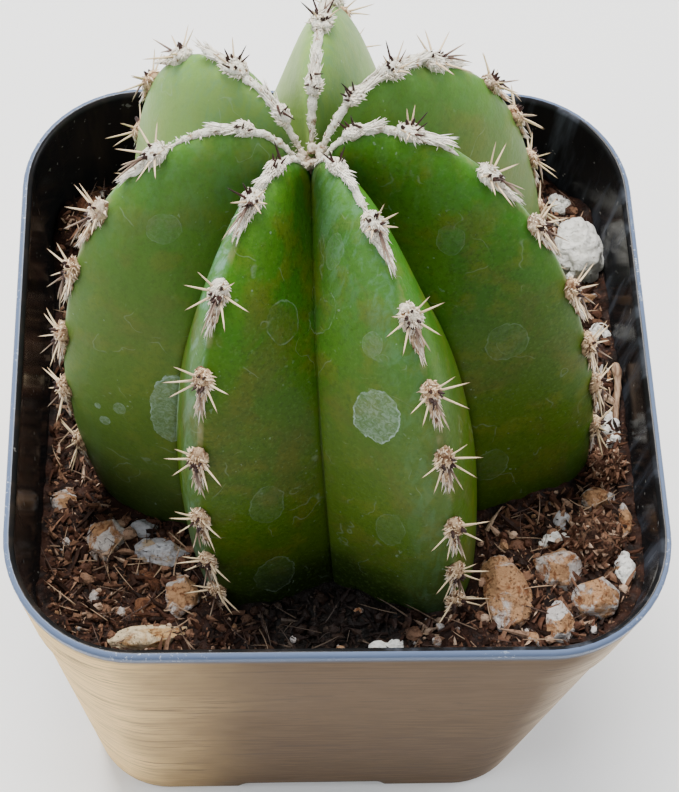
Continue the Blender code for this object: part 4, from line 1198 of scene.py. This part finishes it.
broken_rock = broken_stone_group()
STONE_FINISHES = {
    "tan": rock_finish(
        "tan_granite", pale=(0.55, 0.51, 0.49), warm=(0.42, 0.235, 0.12), stained=1.0,
        rust=(0.19, 0.072, 0.028), pit_colour=(0.05, 0.024, 0.014)),
    "cream": rock_finish(
        "cream_quartz", pale=(0.80, 0.64, 0.42), warm=(0.60, 0.37, 0.17), stained=0.9,
        rust=(0.24, 0.09, 0.03), pit_colour=(0.10, 0.05, 0.03)),
    "grey": rock_finish(
        "grey_white_quartz", pale=(0.52, 0.52, 0.55), warm=(0.46, 0.34, 0.22), stained=0.8,
        rust=(0.20, 0.12, 0.06), pit_colour=(0.12, 0.10, 0.09)),
    "coir": rock_finish(
        "matted_coir", pale=(0.100, 0.044, 0.024), warm=(0.040, 0.016, 0.009), stained=0.9,
        rust=(0.22, 0.12, 0.07), pit_colour=(0.004, 0.002, 0.0015)),
    "bark": rock_finish(
        "red_brown_bark", pale=(0.20, 0.085, 0.04), warm=(0.11, 0.04, 0.018), stained=0.8,
        rust=(0.05, 0.018, 0.009), pit_colour=(0.015, 0.007, 0.005)),
    "perlite": rock_finish(
        "white_perlite", pale=(0.92, 0.91, 0.87), warm=(0.86, 0.83, 0.75), stained=0.2,
        rust=(0.66, 0.58, 0.45), pit_colour=(0.58, 0.53, 0.46)),
}


def popcorn(spot, cell, shift):
    """how far a rounded bubble of that size stands out at a place, from -0.6 to 0.4 of its cell"""
    near = noise.voronoi(spot / cell + shift)[0][0]
    return (math.sqrt(max(0.0, 1 - (near / 0.8) ** 2)) - 0.6) * cell


def stone_shape(work, warm, kind, number, size, fine):
    """a rough broken lump of that size round the origin, each broken face warmer or paler"""
    pick = random.Random(100 + number)
    ball = bmesh.ops.create_icosphere(work, subdivisions=fine, radius=0.5)["verts"]
    shift = Vector((pick.uniform(-9, 9), pick.uniform(-9, 9), pick.uniform(-9, 9)))
    cuts = []
    for cut in range(STONE_CUTS):
        away = Vector((pick.uniform(-1, 1), pick.uniform(-1, 1), pick.uniform(-0.4, 1)))
        cuts.append((away.normalized(), pick.uniform(0.35, 0.45), pick.uniform(-0.45, 0.45)))
    for vert in ball:
        way = vert.co.normalized()
        length = 0.5 * (1 + STONE_ROUGHNESS[kind] * noise.noise(way * 1.6 + shift))
        if kind not in ("perlite", "coir"):
            for away, flat, tint in cuts:
                facing = way.dot(away)
                if facing > 0 and length * facing > flat:
                    length = flat / facing
                    vert[warm] = tint
        spot = Vector((way.x * size.x, way.y * size.y, way.z * size.z)) * length
        if kind == "perlite":
            cell = min(2.4 * MM, size.length * 0.26)
            spot += way * (popcorn(spot, cell, shift) * 0.55 + popcorn(spot, cell * 0.42, shift) * 0.4)
        elif kind == "coir":
            spot += way * (popcorn(spot, 1.5 * MM, shift) * 0.6 + popcorn(spot, 0.6 * MM, shift) * 0.5)
        else:
            rough = noise.fractal(spot / (1.6 * MM) + shift, 0.8, 2.1, 5)
            crag = noise.voronoi(spot / (1.9 * MM) + shift)[0]
            spot *= 1.0 + rough * 0.055 + (crag[1] - crag[0] - 0.35) * 0.05
        vert.co = spot
    return ball


lump_spots = []
for number, (name, kind, x, y, width, depth, height, above, turn, warmth) in enumerate(STONES):
    work = bmesh.new()
    warm = work.verts.layers.float.new("warmth")
    size = Vector((width, depth, height)) * MM
    stone_shape(work, warm, kind, number, size, 5 if max(width, depth) > FINE_FROM else 4)
    lift = soil_height(x * MM, y * MM) + size.z * (above - 0.5)
    turned = Matrix.Rotation(math.radians(turn), 3, "Z")
    bmesh.ops.rotate(work, verts=work.verts, cent=(0, 0, 0), matrix=turned)
    bmesh.ops.translate(work, verts=work.verts, vec=(x * MM, y * MM, lift))
    for vert in work.verts:
        apart = math.hypot(vert.co.x - x * MM, vert.co.y - y * MM) / (size.x + size.y) * 4
        vert[warm] += warmth + 0.25 - 0.5 * apart * apart
    bmesh.ops.recalc_face_normals(work, faces=work.faces)
    if kind == "coir":
        pick = random.Random(150 + number)
        work.normal_update()
        for vert in pick.sample(work.verts[:], int(LUMP_FLAKES * width / LUMP_WIDTH)):
            lump_spots.append((vert.co.copy(), vert.normal.copy()))
    stone = add_piece("dressed_" + name, work, STONE_FINISHES[kind])
    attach(stone, "root")
    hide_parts(name)


# Loose top dressing: coir crumbs and chips, short flat flakes, longer shreds, thin fibres, small
# grit and one dry twig by the right wall. All of it lies on the bed or is half sunk in it.
CRUMBS = 1300
CHIPS = 110
FLAKES = 6200
SHREDS = 1500
GRIT = 120
FIBRES = 420
BED_EDGE = 0.975
FLAKE_STEPS = 2
FIBRE_BENDS = 5


def open_ground(pick, margin):
    """a random place on top of the soil's crumbs that keeps clear of the stem"""
    while True:
        x, y = to_pot_wall(pick.uniform(-BED_EDGE, BED_EDGE), pick.uniform(-BED_EDGE, BED_EDGE), RIM_WALL)
        spot = Vector((x, y, soil_height(x, y) + crumb_relief(x, y)[0]))
        near, normal, face, away = stem_tree.find_nearest(spot)
        if (spot - near).dot(normal) > margin:
            return spot


def is_free(spot, margin):
    """whether a place is inside the pot's wall and outside the stem"""
    half, corner = pot_half(spot.z)
    middle = half - corner
    corner -= RIM_WALL + margin
    past = math.hypot(max(abs(spot.x) - middle, 0), max(abs(spot.y) - middle, 0))
    near, normal, face, away = stem_tree.find_nearest(spot)
    return past < corner and (spot - near).dot(normal) > margin


def ground_way(pick, lowest, highest):
    """a direction along the ground that dips or rises a little"""
    turn = pick.uniform(0, math.tau)
    return Vector((math.cos(turn), math.sin(turn), pick.uniform(lowest, highest))).normalized()


def grain_lumps(count, seed, smallest, spread, flatness, layer_name):
    """many small rough grains on the soil, each with a tone of its own"""
    pick = random.Random(seed)
    grains = []
    for number in range(count):
        wide = (smallest + pick.random() ** 2 * spread) * MM
        size = Vector((wide, wide * pick.uniform(0.55, 0.95), wide * pick.uniform(flatness, 0.85)))
        turn = Matrix.Rotation(pick.uniform(0, math.tau), 3, any_way(pick))
        spot = open_ground(pick, 0.5 * MM) + Vector((0, 0, wide * 0.3))
        grains.append((spot, size, turn, any_way(pick) * 9, pick.random()))
    work = bmesh.new()
    bmesh.ops.create_uvsphere(work, u_segments=7, v_segments=5, radius=1.0)
    repeat_in_row(work, count)
    layer = work.verts.layers.float.new(layer_name)
    for vert in work.verts:
        number = round(vert.co.x / STRAND_APART)
        spot, size, turn, shift, tone = grains[number]
        way = vert.co - Vector((STRAND_APART * number, 0, 0))
        way *= 1 + 0.5 * noise.noise(way * 1.2 + shift)
        vert.co = spot + turn @ Vector((way.x * size.x, way.y * size.y, way.z * size.z))
        vert[layer] = tone
    return work


crumb_finish, tree, shader, place = new_finish("coir_crumbs")
tone = painted(tree, "tone")
mottle = grain(tree, place, 0.7, 4.0)
crumb = stretch(tree, tone, 0.0, 0.5)
crumb = mix_colours(tree, crumb, (0.012, 0.005, 0.003), (0.080, 0.032, 0.018))
crumb = mix_colours(tree, stretch(tree, tone, 0.5, 0.85), crumb, (0.22, 0.115, 0.068))
crumb = mix_colours(tree, stretch(tree, tone, 0.84, 1.0), crumb, (0.50, 0.35, 0.25))
crumb = mix_colours(tree, stretch(tree, mottle, 0.50, 0.66, 0.0, 0.6), crumb, (0.035, 0.014, 0.008))
# painted shadow of the stem in the hollow below its front ribs
crumb = mix_colours(tree, painted_hollow_shade(tree, place, 0.92), crumb, (0.004, 0.002, 0.0015))
damp = stretch(tree, mottle, 0.3, 0.7, 0.45, 0.9)
feed(tree, shader, {"Base Color": crumb, "Roughness": damp, "Specular IOR Level": 0.2})
bump(tree, shader, grain(tree, place, 0.4, 5.0, 0.65), 0.8, 0.2)

lumps = grain_lumps(CRUMBS, 11, 0.22, 0.75, 0.3, "tone")
crumbs = add_piece("coir_crumbs", lumps, crumb_finish, False)
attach(crumbs, "root")
lumps = grain_lumps(CHIPS, 15, 0.7, 0.8, 0.35, "tone")
chips = add_piece("coir_chips", lumps, crumb_finish, False)
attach(chips, "root")
lumps = grain_lumps(GRIT, 12, 0.25, 0.80, 0.5, "warmth")
grit = add_piece("small_grit", lumps, STONE_FINISHES["tan"], False)
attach(grit, "root")

pick = random.Random(14)
strands = []
while len(strands) < FLAKES:
    spot = open_ground(pick, 0.4 * MM)
    way = ground_way(pick, -0.25, 0.55)
    length = (0.4 + pick.random() ** 2 * 1.5) * MM
    root = spot + Vector((0, 0, pick.uniform(-0.1, 0.4) * MM))
    if is_free(root + way * length, 0.25 * MM):
        radius = pick.uniform(0.10, 0.32) * MM
        strands.append((root, way, length, radius, way * 0.0, pick.random() ** 1.3))
while len(strands) < FLAKES + SHREDS:
    spot = open_ground(pick, 0.8 * MM)
    way = ground_way(pick, -0.1, 0.7)
    length = (1.3 + pick.random() ** 2 * 2.3) * MM
    root = spot + Vector((0, 0, pick.uniform(0.0, 0.5) * MM))
    curl = any_way(pick) * length * 0.35
    if is_free(root + way * length + curl, 0.3 * MM):
        strands.append((root, way, length, pick.uniform(0.28, 0.62) * MM, curl, pick.random() ** 1.2))
for spot, normal in lump_spots:
    way = (any_way(pick) + normal * 0.35).normalized()
    length = pick.uniform(0.5, 1.7) * MM
    tone = pick.uniform(0.30, 1.0)
    radius = pick.uniform(0.14, 0.36) * MM
    strands.append((spot + normal * 0.1 * MM, way, length, radius, way * 0.0, tone))
work = straight_strands(len(strands), 4, FLAKE_STEPS)
bend_strands(work, strands, FLAKE_STEPS, 0.35, 0.34)
flakes = add_piece("coir_flakes", work, crumb_finish, False)
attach(flakes, "root")

fibre_brown, tree, shader, place = new_finish("coir_fibres")
tone = painted(tree, "tone")
strand = stretch(tree, tone, 0.2, 1.0)
strand = mix_colours(tree, strand, (0.050, 0.020, 0.011), (0.40, 0.27, 0.17))
dark_brown_spots = stretch(tree, grain(tree, place, 1.5), 0.5, 0.7, 0.0, 0.5)
strand = mix_colours(tree, dark_brown_spots, strand, (0.10, 0.045, 0.025))
# painted shadow of the stem in the hollow below its front ribs
strand = mix_colours(tree, painted_hollow_shade(tree, place, 0.8), strand, (0.010, 0.005, 0.003))
feed(tree, shader, {"Base Color": strand, "Roughness": 0.6})
pick = random.Random(13)
strands = []
while len(strands) < FIBRES:
    spot = open_ground(pick, 0.8 * MM)
    way = ground_way(pick, -0.08, 0.3)
    length = pick.uniform(1.8, 6.5) * MM
    root = spot + Vector((0, 0, pick.uniform(0.3, 1.1) * MM))
    aside = Vector((-way.y, way.x, 0)) * pick.uniform(-1.2, 1.2) * MM
    if is_free(root + way * length + aside, 0.3 * MM) and is_free(root + way * length * 0.5, 0.3 * MM):
        strands.append((root, way, length, pick.uniform(0.06, 0.13) * MM, aside, pick.random()))
work = straight_strands(len(strands), 4, FIBRE_BENDS)
bend_strands(work, strands, FIBRE_BENDS, 0.35)
fibres = add_piece("coir_fibres", work, fibre_brown)
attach(fibres, "root")

TWIG_FROM = Vector((41.2, 2.6, 83.4)) * MM
TWIG_TO = Vector((40.9, -10.4, 81.2)) * MM
TWIG_RADIUS = 0.62 * MM
TWIG_SIDES = 10
TWIG_ROWS = 30
TWIG_KNOT = 0.12
twig_finish, tree, shader, place = new_finish("dry_twig")
lengthwise = drawn_out(tree, place, 1.0, 0.12, 1.0)
twig_grain = grain(tree, lengthwise, 0.35, 4.0)
dry = stretch(tree, twig_grain, 0.35, 0.65)
dry = mix_colours(tree, dry, (0.16, 0.085, 0.050), (0.44, 0.30, 0.20))
feed(tree, shader, {"Base Color": dry, "Roughness": 0.75})
bump(tree, shader, twig_grain, 0.8, 0.2)
work = straight_tube(TWIG_SIDES, TWIG_ROWS)
for vert in work.verts:
    spot, row = tube_spot(vert, TWIG_SIDES)
    share = row / (TWIG_ROWS - 1)
    crook = Vector((0.25 * math.sin(share * 7), 0, 0.2 * math.sin(share * 5))) * MM
    middle = TWIG_FROM.lerp(TWIG_TO, share) + crook
    angle = spot / TWIG_SIDES * math.tau
    knot = 0.5 * math.exp(-((share - TWIG_KNOT) / 0.06) ** 2)
    rough = 0.22 * noise.noise(middle / MM + Vector((spot, 0, 0)))
    thin = 0.0 if share in (0, 1) else 1.0 - 0.25 * share
    radius = TWIG_RADIUS * (1.0 + knot + rough) * thin
    vert.co = middle + Vector((math.cos(angle), 0, math.sin(angle))) * radius
close_up(work)
twig = add_piece("dry_twig", work, twig_finish)
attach(twig, "root")
